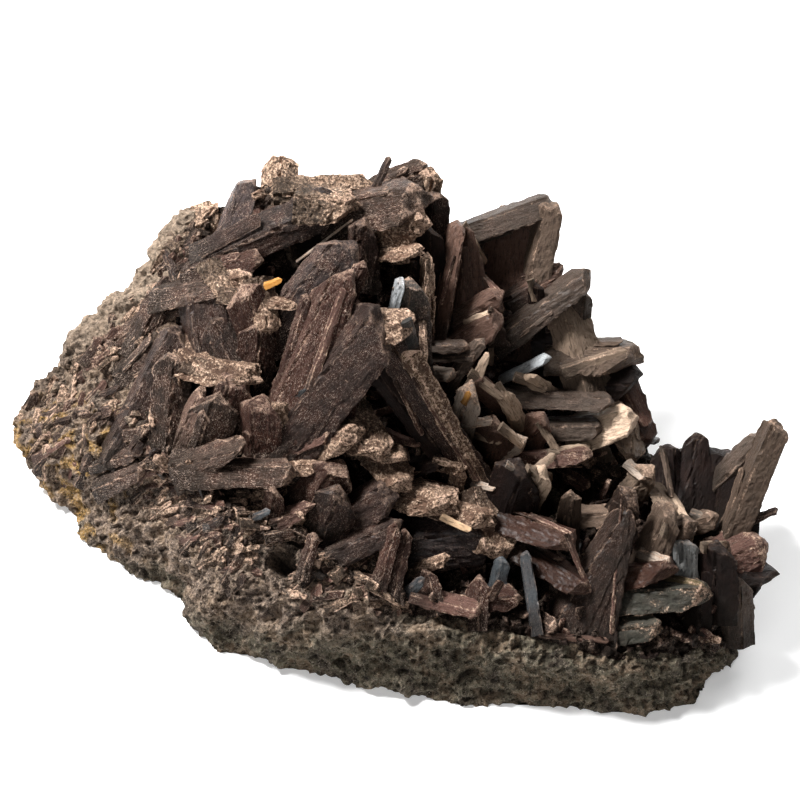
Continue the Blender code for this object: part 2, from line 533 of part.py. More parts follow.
def main():
    for obj in list(bpy.data.objects):
        bpy.data.objects.remove(obj)
    parts = new_collection("axinite")
    cutters = new_collection("cutters")
    rock = matrix_rock(parts)
    crystal_cluster(parts, cutters, rock)
    for piece in parts.objects:
        piece.location = Vector((*CENTRING, 0.0)) * MM


if __name__ == "__main__":
    main()
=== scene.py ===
"""Axinite: brown crystal blades on a lump of grainy rock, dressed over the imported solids.

Run as a script, it builds the rock, the bed of massive crystal on it, the blades, the small
crystals between them and the stage. Lengths in the tables are millimetres. Places on the
crystals' slope are given on a plane laid over it, called the face: across it (+X), up it and
out of it. Across and up are where an eye in front of the face's middle sees the place.
"""

import functools
import math
import random
from typing import NamedTuple

import bpy
import numpy as np
from bpy.props import FloatProperty, FloatVectorProperty, IntProperty, PointerProperty
from mathutils import Matrix, Vector, noise
from mathutils.bvhtree import BVHTree


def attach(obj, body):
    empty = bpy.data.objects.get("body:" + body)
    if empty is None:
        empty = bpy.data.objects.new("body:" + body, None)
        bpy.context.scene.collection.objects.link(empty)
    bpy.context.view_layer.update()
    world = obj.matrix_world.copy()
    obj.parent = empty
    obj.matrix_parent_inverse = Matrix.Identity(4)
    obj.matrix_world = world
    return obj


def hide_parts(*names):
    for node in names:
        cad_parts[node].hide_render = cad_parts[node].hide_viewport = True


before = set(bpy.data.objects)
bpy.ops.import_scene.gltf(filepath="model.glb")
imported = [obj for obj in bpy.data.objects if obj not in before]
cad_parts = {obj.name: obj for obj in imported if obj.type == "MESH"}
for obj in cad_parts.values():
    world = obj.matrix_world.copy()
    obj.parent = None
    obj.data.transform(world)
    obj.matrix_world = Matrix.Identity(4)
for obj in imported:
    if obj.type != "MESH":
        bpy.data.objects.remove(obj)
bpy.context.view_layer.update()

bl_info = {
    "name": "Axinite Specimen",
    "version": (1, 0, 0),
    "blender": (4, 5, 0),
    "location": "3D View > Sidebar > Axinite",
    "description": "Builds a cluster of axinite blades on grainy rock",
    "category": "Add Mesh",
}

MM = 0.001
WHITE = (1.0, 1.0, 1.0)

# The face: its tilt in degrees, its middle and the eye's distance in millimetres
FACE_TILT = 40.0
FACE_CENTRE = Vector((2.05, 0.85, 25.0))
EYE_DISTANCE = 400.0
ACROSS = Vector((1.0, 0.0, 0.0))
UP = Vector((0.0, math.cos(math.radians(FACE_TILT)), math.sin(math.radians(FACE_TILT))))
OUT = Vector((0.0, -math.sin(math.radians(FACE_TILT)), math.cos(math.radians(FACE_TILT))))
EYE = FACE_CENTRE + OUT * EYE_DISTANCE

# The photograph's frame is this wide where the face's middle is
VIEW_WIDTH = 126.0
SENSOR_WIDTH = 36.0

# Lamps: name, place, size and share of the main lamp's power
LAMPS = [
    ("main_lamp", (-210, 130, 320), 110, 1.0),
    ("fill_lamp", (-160, -360, 300), 260, 0.12),
    ("back_lamp", (190, 300, 260), 200, 0.30),
]
WORLD_LIGHT = 0.055

# The floor: half its side and its gap under the specimen in metres, its colour and its own light
FLOOR_REACH = 3.0
FLOOR_GAP = 0.05 * MM
FLOOR_COLOUR = (0.90, 0.90, 0.90)
FLOOR_GLOW = 0.25

# A crystal's form: how much is buried, at most and for its width, and the slant of its section
ROOT = 3.0
ROOT_SHARE = 1.2
SKEW = 0.38

# Its shoulders: how many levels they have and how much they narrow it
SHOULDERS = 3.0
SHOULDER_WIDTH = 0.15

# Its end: how thin, its lean in degrees, and the slopes of it and of its corners' facets
END_THINNING = 0.8
END_LEAN = 25.0
END_SLOPES = (-0.2, 0.2)
CORNER_SLOPES = (0.4, 1.3)
CORNER_STARTS = (0.0, 0.75)
END_ROUNDING = 0.25
WORN_END = 0.9

# Relief of the crystals. Layers of noise are (size of a lump, height, seed)
FULL_RELIEF_WIDTH = 2.6
GRAIN_STRETCH = 0.16
RIBS = [(0.75, 0.6, 0.0), (0.34, 0.4, 0.0)]
RIB_RISE = 0.06
STEP_SIZE = 3.2
STEP_LEVELS = 2.6
STEP_RISE = 0.38
CRUMBS = [(1.0, 0.6, 0.0), (0.45, 0.4, 0.0)]
CRUMB_RISE = 0.10
CRUST_RISE = 0.80
CHIP_SIZE = 1.5
CHIP_SHARE = 0.3
CHIP_DEPTH = 0.65
CHIP_CRUST = 0.5
EDGE_ROUNDING = 0.12
EDGE_SHARPNESS = 8
RIM_SHARPNESS = 6
SIDE_RELIEF = 0.7
SPLINTER_SIZE = 1.1
SPLINTER_RISE = 0.35
# Height from a crystal's root over which it is darkened: painted shade at its foot
FOOT_SHADE_HEIGHT = 3.5
TINT_RANGE = (0.6, 1.3)

# Mesh cells: the share of them kept along a crystal, and how much larger small crystals' cells are
CELL_SHARE = 0.7
SMALL_CELL_SHARE = 1.25

# Thinner crystals grown beside each broad one: how many, and the least width that has them
COMPANIONS = 3
COMPANION_WIDTH = 2.4

# Their reach, width and thickness as shares of the broad one's, their tapers and turns in degrees
COMPANION_REACHES = (0.45, 0.95)
COMPANION_WIDTHS = (0.16, 0.36)
COMPANION_THICKNESSES = (0.35, 0.6)
COMPANION_TAPERS = (0.3, 0.95)
COMPANION_ROLLS = (-16, 16)
COMPANION_CUTS = (-35, 35)

# Relief of the rock, in layers of noise as above
ROCK_LUMPS = [(9.0, 0.9, 6.0), (5.0, 0.6, 0.0), (2.4, 0.55, 9.0)]
ROCK_CRUMBS = [(0.95, 0.8, 3.0)]
ROCK_FOLDS = [(3.2, 1.3, 15.0), (1.5, 0.8, 25.0)]
FOLD_CREST = 0.35
ROCK_PITS = [(1.3, 1.0, 20.0), (0.8, 0.8, 5.0)]
PIT_EDGE = (0.30, 0.8)
GRAIN_LEVEL = 0.45
GRAIN_SHARE = 0.8

# Height over which the relief's upright part sets in above the flat underside
FLAT_EDGE = 1.5

# Paler, smoother rock at the upper left: where it sets in, up the face and to the left, and how much it
# softens the relief
HAZE_UP = (0.0, 16.0)
HAZE_LEFT = (20.0, 32.0)
HAZE_SMOOTHING = 0.3

# Rust and olive on the rock: how far left rust starts, and the height and slope of the olive rim
RUST_START = 45.0
OLIVE_TOP = 14.0
OLIVE_SLOPE = 0.2

# Holes and hollows: the slope that has them, their flare, wall and shade, and the room round them
FACING_SLOPE = 0.2
HOLE_FLARE = 1.25
HOLE_WALL = 0.5
HOLE_SHADE = 1.3
HOLE_MARGIN = 1.3
BED_OPENING = 1.3

# The bed: its facets' size, tilt and height, the slope of its edge and how deep that is sunk
FACET_SIZE = 2.6
FACET_SEED = 4.0
FACET_TILT = 2.2
FACET_RISE = 1.6
FACET_LIMITS = (-1.6, 1.8)
BED_CRUMBS = [(0.8, 0.35, 6.0)]
BED_FACING = 0.05
BED_EDGE = 3.0
BED_EDGE_SLOPE = 0.9
BED_SINK = 0.8

ROCK_COLOURS = {
    "olive": (0.115, 0.104, 0.072),
    "tan patch": (0.200, 0.138, 0.090),
    "brown patch": (0.062, 0.046, 0.038),
    # dust: the pale colour the rock turns towards its upper left
    "dust": (0.270, 0.205, 0.150),
    "rust": (0.38, 0.215, 0.05),
    "pale grain": (0.50, 0.375, 0.27),
    "dark grain": (0.014, 0.010, 0.007),
    "sand": (0.56, 0.45, 0.35),
    # pit: near-black, painted shade in the rock's pits and holes
    "pit_shade": (0.006, 0.004, 0.003),
}

CRYSTAL_COLOURS = {
    "red patch": (0.048, 0.016, 0.009),
    "pale line": (0.22, 0.140, 0.105),
    "dark line": (0.003, 0.002, 0.002),
    # Crust gap and crust top: painted shade between the crust's grains and painted highlight on the grains
    # that stand up
    "crust gap shade": (0.020, 0.012, 0.008),
    "crust": (0.29, 0.190, 0.130),
    "crust top highlight": (0.85, 0.68, 0.52),
    # foot: near-black, painted shade at the crystals' feet and in the bed's low facets
    "foot": (0.004, 0.003, 0.002),
    # rim: pale edges, partly chipped worn edges and partly painted highlight along them
    "rim": (0.52, 0.35, 0.26),
    "dust": (0.50, 0.385, 0.31),
    "sheen": (1.0, 0.84, 0.74),
}
CRYSTAL_SPECULAR = 0.12
BED_SPECULAR = 0.10

# Outline of the crystals' bed on the face, as (across, up)
BED_OUTLINE = [
    (-44, -9), (-38, 6), (-37, 18), (-35, 27), (-27, 34), (-18, 38), (-2, 40), (10, 40), (26, 36), (36, 20),
    (46, 8), (52, 2), (62, -4), (60, -28), (52, -40), (34, -42), (20, -38), (0, -34), (-14, -27), (-30, -19),
]

# Where thin flakes lie flat on the rock: outline as (across, up), their direction in degrees, number
FLAKE_FIELDS = [
    ([(-46, -3), (-33, -9), (-16, -12), (-8, -15), (3, -24), (4, -34), (-8, -33), (-16, -31), (-26, -29),
        (-42, -16)], 14, 820),
    ([(-60, -3), (-52, 5), (-42, 16), (-36, 25), (-31, 26), (-35, 12), (-42, -2), (-48, -12), (-55, -14)],
        52, 480),
]


class Look(NamedTuple):
    """A crystal's finish: its colour, and how much it is granular crust, glassy and dusty."""
    colour: tuple
    crust: float
    gloss: float
    dust: float


LOOKS = {
    # Near-black: painted shade, for crystals and gap fillers that stand in shadow
    "shade_black_brown": Look((0.004, 0.002, 0.002), 0.00, 0.20, 0.02),
    "dark_brown": Look((0.011, 0.006, 0.005), 0.05, 0.50, 0.60),
    "brown": Look((0.027, 0.011, 0.008), 0.14, 0.35, 0.90),
    "red_brown": Look((0.036, 0.015, 0.010), 0.06, 0.45, 0.20),
    "pink_brown": Look((0.082, 0.042, 0.033), 0.28, 0.25, 0.60),
    "striated": Look((0.075, 0.045, 0.034), 0.34, 0.20, 1.00),
    "grey_brown": Look((0.025, 0.016, 0.012), 0.18, 0.30, 1.00),
    "grey_clear": Look((0.062, 0.046, 0.036), 0.08, 0.30, 0.25),
    "grey_violet": Look((0.028, 0.021, 0.021), 0.06, 0.35, 1.00),
    "dark_glass": Look((0.010, 0.007, 0.008), 0.02, 0.85, 0.40),
    # Bluish greys: painted reflection on glassy faces, which also have real gloss
    "reflection_blue_glass": Look((0.150, 0.154, 0.150), 0.08, 0.80, 0.30),
    "grey_glass": Look((0.055, 0.064, 0.070), 0.04, 0.90, 0.20),
    # Near-white glass: a painted glint on faces that catch the light
    "glint_white_glass": Look((0.420, 0.440, 0.450), 0.05, 0.90, 0.00),
    "tan_crust": Look((0.085, 0.048, 0.032), 0.66, 0.05, 0.50),
    "tan_rock": Look((0.080, 0.056, 0.041), 0.80, 0.00, 0.50),
    "tan_clear": Look((0.150, 0.108, 0.078), 0.20, 0.15, 0.15),
    "tan_lit": Look((0.470, 0.345, 0.250), 0.15, 0.15, 0.10),
    "warm_brown": Look((0.075, 0.042, 0.031), 0.08, 0.35, 0.20),
    # Pale tan, partly the crystals' own pale colour and partly painted highlight on lit edges, blocks and
    # glints
    "pale": Look((0.360, 0.290, 0.235), 0.35, 0.15, 0.20),
    "ochre": Look((0.130, 0.100, 0.052), 0.22, 0.15, 0.10),
    "green_grey": Look((0.040, 0.040, 0.032), 0.30, 0.15, 0.10),
    "umber": Look((0.013, 0.008, 0.006), 0.10, 0.40, 0.25),
    "soft_tan": Look((0.095, 0.066, 0.048), 0.14, 0.15, 0.10),
    "smoke_glass": Look((0.062, 0.056, 0.050), 0.25, 0.50, 0.90),
    "amber": Look((0.420, 0.190, 0.040), 0.05, 0.60, 0.00),
    # Bright orange: a painted highlight
    "orange_highlight": Look((0.560, 0.370, 0.220), 0.05, 0.50, 0.00),
    # Bed: dark brown crystal, darkened further as painted shade so the gaps between the blades look black
    "bed": Look((0.011, 0.006, 0.005), 0.20, 0.15, 0.60),
}


class Scatter(NamedTuple):
    """Scattered crystals: the limits of their sizes in millimetres, turns in degrees and tapers."""
    name: str
    length: tuple
    width: tuple
    thickness: tuple
    roll: tuple
    cut: tuple
    taper: tuple
    looks: tuple


# Flakes: how far their directions spread in degrees, and how far a foot is sunk and a tip lifted
FLAKES = Scatter("flake", (1.4, 4.4), (0.8, 2.2), (0.35, 0.8), (-30, 30), (-30, 30), (0.3, 0.9), (
    "grey_brown", "brown", "tan_rock", "dark_brown", "tan_rock", "pink_brown", "tan_rock"))
FLAKE_SPREAD = 22
FLAKE_SINK = 0.3
FLAKE_LIFT = (0.1, 1.0)

# Fillers: where they are tried, how far inside the bed, and how they lean and rise for their length
FILLERS = Scatter("filler", (2.0, 6.0), (0.9, 2.4), (0.7, 1.8), (-60, 60), (-25, 25), (0.3, 0.95), (
    "dark_brown", "brown", "grey_brown", "brown", "pink_brown", "tan_crust", "dark_glass"))
FILLER_ACROSS = (-44, 58)
FILLER_UP = (-38, 36)
FILLER_MARGIN = 2.0
FILLER_SPREAD = (0.4, 1.0)
FILLER_STEEPNESS = 0.7
FILLER_SINK = 0.5

# Seeds of the scatter and of the small crystals' relief, and the thickness of the lit edges
SCATTER_SEED = 7
SMALL_SEED = 300.0
EDGE_THICKNESS = 0.7


class Blade(NamedTuple):
    """A crystal: where it leaves the bed and where it ends on the face, its size and its look.

    Width and thickness are at the foot. Taper narrows the end; roll turns the broad face
    about the crystal's length, from facing out; cut leans the end across the width.
    """
    name: str
    foot: tuple
    tip: tuple
    width: float
    thickness: float
    look: str
    taper: float = 0.9
    roll: float = 0.0
    cut: float = 0.0


# The blades of each piece, as rows of Blade
BLADES = {"crest": [
    ("crest_knob", (-19, 31, -9), (-18.9, 38.2, -12), 4.6, 3.6, "tan_rock", 0.75, 20),
    ("crest_plate", (-27, 25, -9), (-24, 34.6, -10), 6, 5, "grey_violet", 0.7, -30, 10),
    ("crest_step", (-33, 25, -14), (-28.8, 30.6, -14), 5, 4, "tan_rock", 0.8, 10),
    ("long_bar", (-30, 22.5, -8), (-9.5, 31, 0), 3.4, 4, "dark_brown", 1.2, 15, -15),
    ("rim_band", (-17, 32.4, -8), (-4.5, 33, -8), 3.6, 3, "tan_rock", 0.9, 30),
    ("bar_crust", (-13.5, 30.8, -1), (-7, 30.8, 0), 5, 4.5, "tan_rock", 0.85, -10),
    ("knob_block", (-8, 29.5, -6), (3, 31.8, 0), 7.5, 7, "grey_brown", 0.8, -20),
    ("knob_lower", (-5, 28, -4), (3.4, 27, 1), 5, 5, "tan_crust", 0.85, 20),
    ("splinter", (-4.2, 32.5, -6), (-1.6, 38.3, -5), 1.1, 0.9, "dark_brown", 0.8),
    ("top_bar", (-3.5, 32.6, -9), (4.2, 36, -8), 3.6, 3, "grey_brown", 0.95, 10, -25),
    ("top_bar_crust", (3.4, 29, -10), (4.9, 36, -7), 2.8, 3, "tan_rock", 0.8, 20),
    ("back_block", (5, 23, -9), (5, 32.4, -6), 3.6, 3.4, "dark_brown", 0.9, 25, 15),
    ("hollow_plate", (-6, 20, -2), (-5.8, 28.3, 3), 6, 2.4, "dark_brown", 0.6, -10, 15),
], "upper_left": [
    ("tan_bar", (-31.5, 20.3, -7), (-22, 22.2, -2), 3, 3, "brown", 0.9, -10, 10),
    ("grey_cap", (-36, 16.5, -9), (-26.5, 18.6, -2), 4.5, 4, "grey_brown", 0.85, -25, -30),
    ("cap_chip", (-28.6, 19.5, -3), (-25.4, 14.8, 0.5), 3.2, 3, "tan_rock", 0.85),
    ("fan_plate_left", (-29.5, 5.5, -3), (-31.5, 17.2, -4.5), 7, 4, "dark_brown", 0.9, -15, -10),
    ("fan_plate_right", (-25.5, 5.5, -1), (-29.5, 13, -2), 5, 3.5, "dark_brown", 0.8, 20),
    ("tan_wedge", (-21.5, 9, -1), (-25, 17.3, 2.5), 4.2, 4, "brown", 0.8, 25, 20),
    ("tan_ledge", (-25.5, 16.3, 0), (-16, 14.9, 2), 2.8, 2.4, "tan_crust", 0.5, -20),
    ("ledge_drop", (-21.8, 16.3, 1), (-20.6, 10.6, 2.5), 3, 2.6, "tan_crust", 0.8, 10),
    ("brown_root", (-23, 4, -1), (-22.3, 12, 1.5), 3.6, 3.4, "brown", 0.9, 30),
    ("left_ridge_low", (-46.5, 8, -16), (-39, 13.5, -12), 2.6, 2.6, "grey_brown", 0.8),
    ("left_ridge_high", (-41, 9, -12), (-37.5, 17, -11), 3, 3, "grey_brown", 0.8, 15),
    ("left_ridge_end", (-42.5, 5, -11), (-36.5, 9.5, -7), 3, 3, "grey_brown", 0.8, -10),
    ("small_block", (-28.5, 18.2, -4), (-23.8, 19.4, 0), 2.4, 2.4, "tan_crust", 0.9, 10),
], "slabs": [
    ("slab_1", (-17.5, 11, -1), (-8, 24.8, 6.5), 8, 3.2, "grey_violet", 0.85, -8, 5),
    ("slab_2", (-19.5, -7, 2.5), (-9, 20.3, 9.5), 7.5, 4, "brown", 0.72, -12, 10),
    ("slab_3", (-18, -7, 3), (-2.8, 12.6, 12), 8, 4.4, "dark_brown", 0.9, -5, -35),
    ("slab_3_crust", (-3, 11.4, 10), (1.6, 11.8, 12), 5.2, 4, "tan_crust", 0.7, -10),
    ("slab_4", (13, -13.5, 0), (-2.3, 9, 10), 2.3, 3.0, "dark_brown", 1.0, 25),
    ("slab_4_rib", (9.5, -11, 0), (-3.6, 5.5, 7.5), 4.6, 2.0, "shade_black_brown", 0.9, 30),
    ("shelf", (-12, 10, 1), (-6.2, 14.6, 6), 3, 2.2, "brown"),
    ("arch_top", (-2.5, 23.2, -1), (3.2, 23.4, 4), 2.4, 3, "tan_crust", 0.9, -20, -20),
    ("arch_side", (4.2, 12, -3), (4.2, 22.8, 2), 5, 1.8, "tan_crust", 0.9, -75),
    ("glassy_blade", (2.2, 4, -1), (1.6, 18.8, 7), 4.2, 3, "smoke_glass", 0.85, 15),
    ("slab_2_shell", (-9, 15, 6), (-5.6, 21.6, 8), 2.2, 1.8, "brown", 0.8, 20),
    ("slab_4_crust", (12.8, -13, 1.8), (1.3, 7.8, 10.8), 1.4, 1.5, "tan_crust", 2.0, 10),
    ("glassy_crust", (-0.8, 15, 5), (0.2, 19, 7.5), 2, 2.2, "glint_white_glass", 0.8, -30),
], "back_right": [
    ("leaf_plate", (5.5, 15, -5), (4.6, 27.2, -2), 4, 2.4, "shade_black_brown", 0.7, 15, -25),
    ("long_wedge", (6.2, 12, -5), (8.8, 28.4, -4), 2.6, 4, "warm_brown", 1.1, -30),
    ("triangle_plate", (11.5, 11, -8), (10, 27.5, -6), 10, 2.6, "warm_brown", 0.12, 5),
    ("triangle_corner", (11, 13, -5), (16, 16.5, -2), 3.4, 2.6, "warm_brown", 0.8, 10),
    ("low_triangle", (9, 8.5, -5), (15.6, 12.8, -1), 4.5, 2.6, "warm_brown", 0.85, -10, -15),
    ("grey_bar_high", (3.5, 8.5, -3), (11, 8.4, 0), 1.8, 2, "grey_clear", 0.9, -15),
    ("tan_shard", (11.5, 2.4, -1), (13.9, 7.4, 2.5), 2.8, 1.2, "tan_lit", 0.15, -10),
    ("big_plate_bar", (7, 25.0, -11), (24, 31.2, -13.5), 3.8, 3.2, "grey_clear", 0.95, -20, 15),
    ("big_plate_face", (16, 9, -14), (17.4, 30.5, -16), 11, 3, "warm_brown", 1.0, 10),
    ("big_plate_wall", (20.4, 14, -14), (23.6, 31, -11.5), 4.2, 3, "soft_tan", 0.9, -15, 10),
    ("brown_wedge", (19, 16.6, -13), (25.8, 21.2, -12), 3.6, 2.6, "warm_brown", 0.35, 0, -20),
    ("grey_bar", (17, 10, -10.5), (29.8, 19.8, -7), 3.8, 3.4, "grey_clear", 0.9, -15, -15),
    ("grey_bar_side", (27.8, 12, -11), (28.4, 17.6, -8.5), 2.4, 3, "grey_clear", 0.9, 30),
    ("tan_face", (29.4, 3, -9), (25.6, 16.2, -10.5), 5.4, 3.2, "tan_clear", 0.85, 20, -25),
    ("blunt_block", (26, 6.6, -12), (37.6, 7, -10), 5.6, 7, "soft_tan", 0.9, -30, -10),
    ("blunt_block_low", (27, 3.4, -12), (37.8, 3.6, -9.5), 3.6, 6, "shade_black_brown", 0.9, 10),
    ("glint_bar", (3, 4.6, -3), (8.4, 3.8, 0), 1.8, 1.4, "pale"),
    ("grey_bar_low", (3.5, 6.6, -3), (12.2, 7, 0), 1.2, 1.4, "grey_clear"),
    ("cross_bar", (7, 1.5, -4), (13, 9.5, 1), 1.8, 1.6, "grey_clear"),
    ("back_prong", (21.5, 12, -12), (21.4, 18.3, -8), 1.8, 2, "shade_black_brown"),
    # A near-black plate in the hollow: painted shade
    ("hollow_back", (19, 6, -15), (27, 10.5, -13), 7, 3, "shade_black_brown", 1.0),
], "right_middle": [
    # A thin blade painted near-white: a painted glint
    ("white_blade", (14.5, 2.6, -12), (23.7, 6.9, -4), 1.8, 1.6, "glint_white_glass", 0.9, -30),
    ("small_tan_wedge", (23.2, 1.2, -8), (20, 3.8, -4), 2.4, 2, "tan_lit", 0.5),
    ("level_bar_high", (17, 0.6, -8), (33.4, -0.4, -6), 3.4, 3.2, "grey_clear", 0.9, -25),
    ("level_bar_low", (18, -4.8, -8), (32, -4.4, -6), 3, 3, "grey_clear", 0.9, -10),
    ("lit_bar", (17, -9.6, -6), (29.8, -8.7, -3), 3.2, 3, "pink_brown", 0.9, -30),
    ("tan_mass", (29, -5, -9), (37, -2.5, -6.5), 5.4, 4.4, "tan_lit", 0.9, -20),
    ("tan_mass_low", (36, -1, -12), (36.3, -9.6, -7), 4, 3.6, "tan_clear", 0.8),
    ("edge_mass", (34.6, 2.5, -13), (38.4, -7, -10), 3.6, 3.6, "red_brown", 0.9, 20),
    ("pale_block", (9.6, -4.6, -2), (11.2, 1.8, 3.4), 3.4, 3, "pale", 0.8, -10),
    ("ridge", (16.5, -1, -6), (11.5, 3, 1), 2.2, 2.4, "warm_brown", 0.8, 20),
    ("roof_block", (14.5, -9, -6), (14.8, -3.4, 1.5), 6.5, 4, "warm_brown", 0.45),
    ("brown_facet", (20, -6.5, -8), (22.6, -2.6, -2.5), 3.2, 3, "warm_brown", 0.8, 20),
    ("shard", (32, -8, -10), (30.4, -3.8, -6), 1.8, 1.4, "tan_clear", 0.7),
    ("tan_flake", (18.8, -3.8, -6), (16.6, 1.2, -1), 2, 1.8, "tan_lit", 0.7, 10),
    ("roof_chip", (16.2, -8, -4), (19.6, -6.2, -1), 2.4, 2.2, "pale", 0.8),
    ("pale_hook", (12, -13.2, -3), (15.2, -13.6, 1.5), 1.4, 1.4, "tan_clear", 0.8),
], "left": [
    ("sheaf_left", (-44.5, -8, -8), (-35, 11.3, -4.5), 4.6, 3.4, "dark_brown", 0.85, -15, 10),
    ("sheaf_right", (-36.5, -6.5, -3), (-35.5, 7, -2), 4, 3.4, "grey_brown", 0.85, 25),
    ("rim_slope", (-36, 9.6, -6), (-30.5, 4.5, 0.5), 2.4, 3, "tan_crust", 0.9, 20),
    ("rim_level", (-35, 5.5, -4), (-26.2, 3.2, 2.5), 3.4, 3.4, "tan_crust", 0.9, -20),
    ("rim_cap", (-30.5, 5.5, -2), (-22.5, 3.8, 3.5), 4.2, 4, "tan_crust", 0.9, -30),
    ("rim_body", (-27.5, -2.5, 0), (-25.5, 3.6, 4), 5, 4.4, "brown"),
    ("ochre_face", (-34, -5.5, -1.5), (-31, 1.8, 2.5), 3.4, 3.2, "striated", 0.6, -20),
    ("speckled_face", (-30.5, -6.5, 0), (-28.5, 1, 4.2), 5.5, 3.8, "grey_brown", 0.9, 10),
    ("brown_block", (-22, -9, 1), (-22.2, -0.2, 6), 5.8, 4.4, "brown", 0.85, -10, -10),
    ("brown_block_rim", (-16.8, -8.8, 2), (-19.6, -0.6, 6.5), 2.2, 3, "tan_crust", 0.9, 40),
    ("pointed_wedge", (-33, -10.5, 1.5), (-24.3, -6.8, 6.5), 5.4, 3.6, "grey_brown", 0.12, -5),
    ("left_chip_low", (-46, -13.5, -8), (-40.2, -10.6, -2), 3, 2.4, "grey_brown", 0.7),
    ("left_chip", (-47, -10, -9), (-41.3, -8.3, -3), 2, 1.8, "grey_brown", 0.7),
], "front_left": [
    ("stub", (-9.2, -4.5, 0), (-7.8, 2, 6.5), 3, 3, "brown", 0.9, -20),
    ("root_bar", (-17.5, -7.4, 3), (-10.5, -4.8, 7), 2.6, 2.6, "pink_brown", 0.9, -20),
    ("knob_a", (-12, -7, 2), (-7, -5.2, 8.5), 5, 5, "tan_crust", 0.85, -30),
    ("knob_b", (-7.5, -3.2, 3), (-3.6, -9, 8.5), 4, 4.4, "tan_crust", 0.85, 20),
    ("knob_tip", (-4.5, -7.5, 3), (0.6, -9.2, 7.5), 4, 3.6, "tan_crust", 0.45, -10),
    ("knob_link", (-2.6, -9.5, 3), (0.8, -13.8, 8), 3.6, 4, "tan_crust", 0.85),
    ("dark_plate", (1, -11, -1), (6.4, -9.6, 4), 3.4, 2.2, "shade_black_brown", 0.5, -10),
    ("tan_crust_left", (0, -14.5, 2), (8.5, -16.6, 7.5), 5, 5.5, "tan_crust", 0.9, -25),
    ("tan_crust_middle", (8, -17, 3), (14.5, -19, 7.5), 4, 5, "tan_crust", 0.9, -25),
    ("tan_crust_right", (13.5, -17, 3.5), (15, -24.5, 7.5), 4.2, 5, "tan_crust", 0.8, 30),
    ("dark_face", (2, -23, 4.5), (14, -22, 6.5), 6.5, 3.4, "dark_glass", 0.9, 15),
    ("rounded_bar", (-31, -11.6, 2.5), (-16.5, -11.2, 7), 4.2, 3.6, "grey_brown", 0.9, -20, -20),
    ("rounded_bar_end", (-22, -10, 2), (-13, -10.2, 6), 3, 3, "tan_crust", 0.8, -10),
    ("edge_block", (-14.5, -17, 3), (-9.5, -10.4, 8), 5, 4, "brown", 0.9, 20, 25),
    ("edge_block_low", (-12, -21, 5.5), (-9.3, -14.6, 10), 4.5, 4, "dark_brown", 0.9, 20),
    ("pink_wedge", (-19, -19, 5.5), (-13.8, -16.6, 8.5), 2.8, 2.4, "pink_brown", 0.5, -10),
    ("dark_blade", (-9, -19, 3), (-1.6, -14.4, 8.5), 5.5, 4, "dark_brown", 0.9, -20),
    ("striped_blade", (-10, -24.5, 7.5), (0, -19.5, 10), 3.4, 3, "dark_brown", 0.9, -10),
    ("spindle_left", (-3, -28.5, 10.5), (-0.6, -19.5, 11), 1.8, 1.8, "brown"),
    ("spindle_right", (-1, -30, 10.5), (1, -20.5, 10.5), 1.6, 1.6, "brown", 0.9, 20),
    ("dark_plate_rim", (8, -16, -1), (9.6, -10.5, 3.5), 2, 2, "tan_crust", 0.8),
    ("dark_plate_tip", (5, -9.8, -1), (10.2, -10.8, 4), 2, 2, "tan_crust", 0.8),
    ("lit_chip", (2.8, -26.5, 6), (7.5, -25, 9), 1.8, 1.8, "tan_crust", 0.8, -10),
    ("pink_tip", (-3, -5.2, -1), (3.2, -7.2, 4.5), 2.2, 2, "pink_brown", 0.2, -20),
    ("short_blade", (-20, -18.5, 4.5), (-19.8, -14, 8.5), 2.6, 2.2, "brown", 0.7, 10),
    ("spindle_far", (-15, -26.5, 10.5), (-13.4, -21, 11.5), 1.6, 1.6, "brown", 0.8),
], "front_middle": [
    ("hole_rim_low", (4, -31, 10), (12.8, -33.2, 11.5), 1.8, 3, "pink_brown", 0.9, -10),
    ("hole_rim_right", (12, -34, 10), (12.4, -27.5, 9), 2, 3, "brown"),
    ("hole_rim_left", (5, -32, 10), (3.8, -26.5, 9), 1.8, 3, "brown"),
    ("low_bar", (11.5, -31.5, 8), (19, -31, 10), 2.6, 3, "brown", 0.9, -10),
    ("dark_block", (16.5, -19.5, 2), (19, -10.2, 9), 5.5, 4.5, "shade_black_brown", 0.8, 15, 10),
    ("tan_facets", (20.5, -15, 3), (22.8, -11.2, 8.5), 3.2, 3, "tan_lit", 0.7, 10),
    ("brown_tongue", (16.5, -19, 4), (27.3, -22.6, 10), 4.6, 3.6, "red_brown", 0.85, -30, -10),
    ("round_tongue", (20.5, -24.5, 5), (29.8, -30, 11), 4, 4, "red_brown", 0.85, -25),
    ("glass_plate", (21.2, -34.5, 11), (19.6, -24, 9.5), 2.2, 1.6, "grey_glass", 0.8, -35, 20),
    ("lit_facet", (26.5, -21, 2), (27, -14.5, 5), 2.4, 2.2, "soft_tan", 0.8, 10),
    ("tan_stub", (28, -18.4, 1), (33.5, -18, 5), 2.6, 2.6, "soft_tan", 0.85, -10),
    ("big_triangle", (27.8, -37.4, 9.4), (36.2, -16, 8), 12.5, 3.6, "umber", 0.2, -10),
    ("big_triangle_cap", (33.5, -20, 3), (36.6, -15, 10), 3.4, 3.4, "umber", 0.8),
    ("dark_block_edge", (20, -19, 2), (21, -14.5, 7.5), 1.6, 2, "shade_black_brown", 0.8),
    ("grey_pane", (15, -30, 7), (16.3, -25, 8.5), 2.2, 1.6, "grey_glass"),
], "front_right": [
    ("tan_top", (38.5, -27, 5), (42.5, -17, 9), 4.4, 4, "soft_tan", 0.7, -15),
    ("tan_top_side", (41, -22, 4), (46.2, -19.6, 9), 3.6, 3.6, "soft_tan", 0.85, -20, -20),
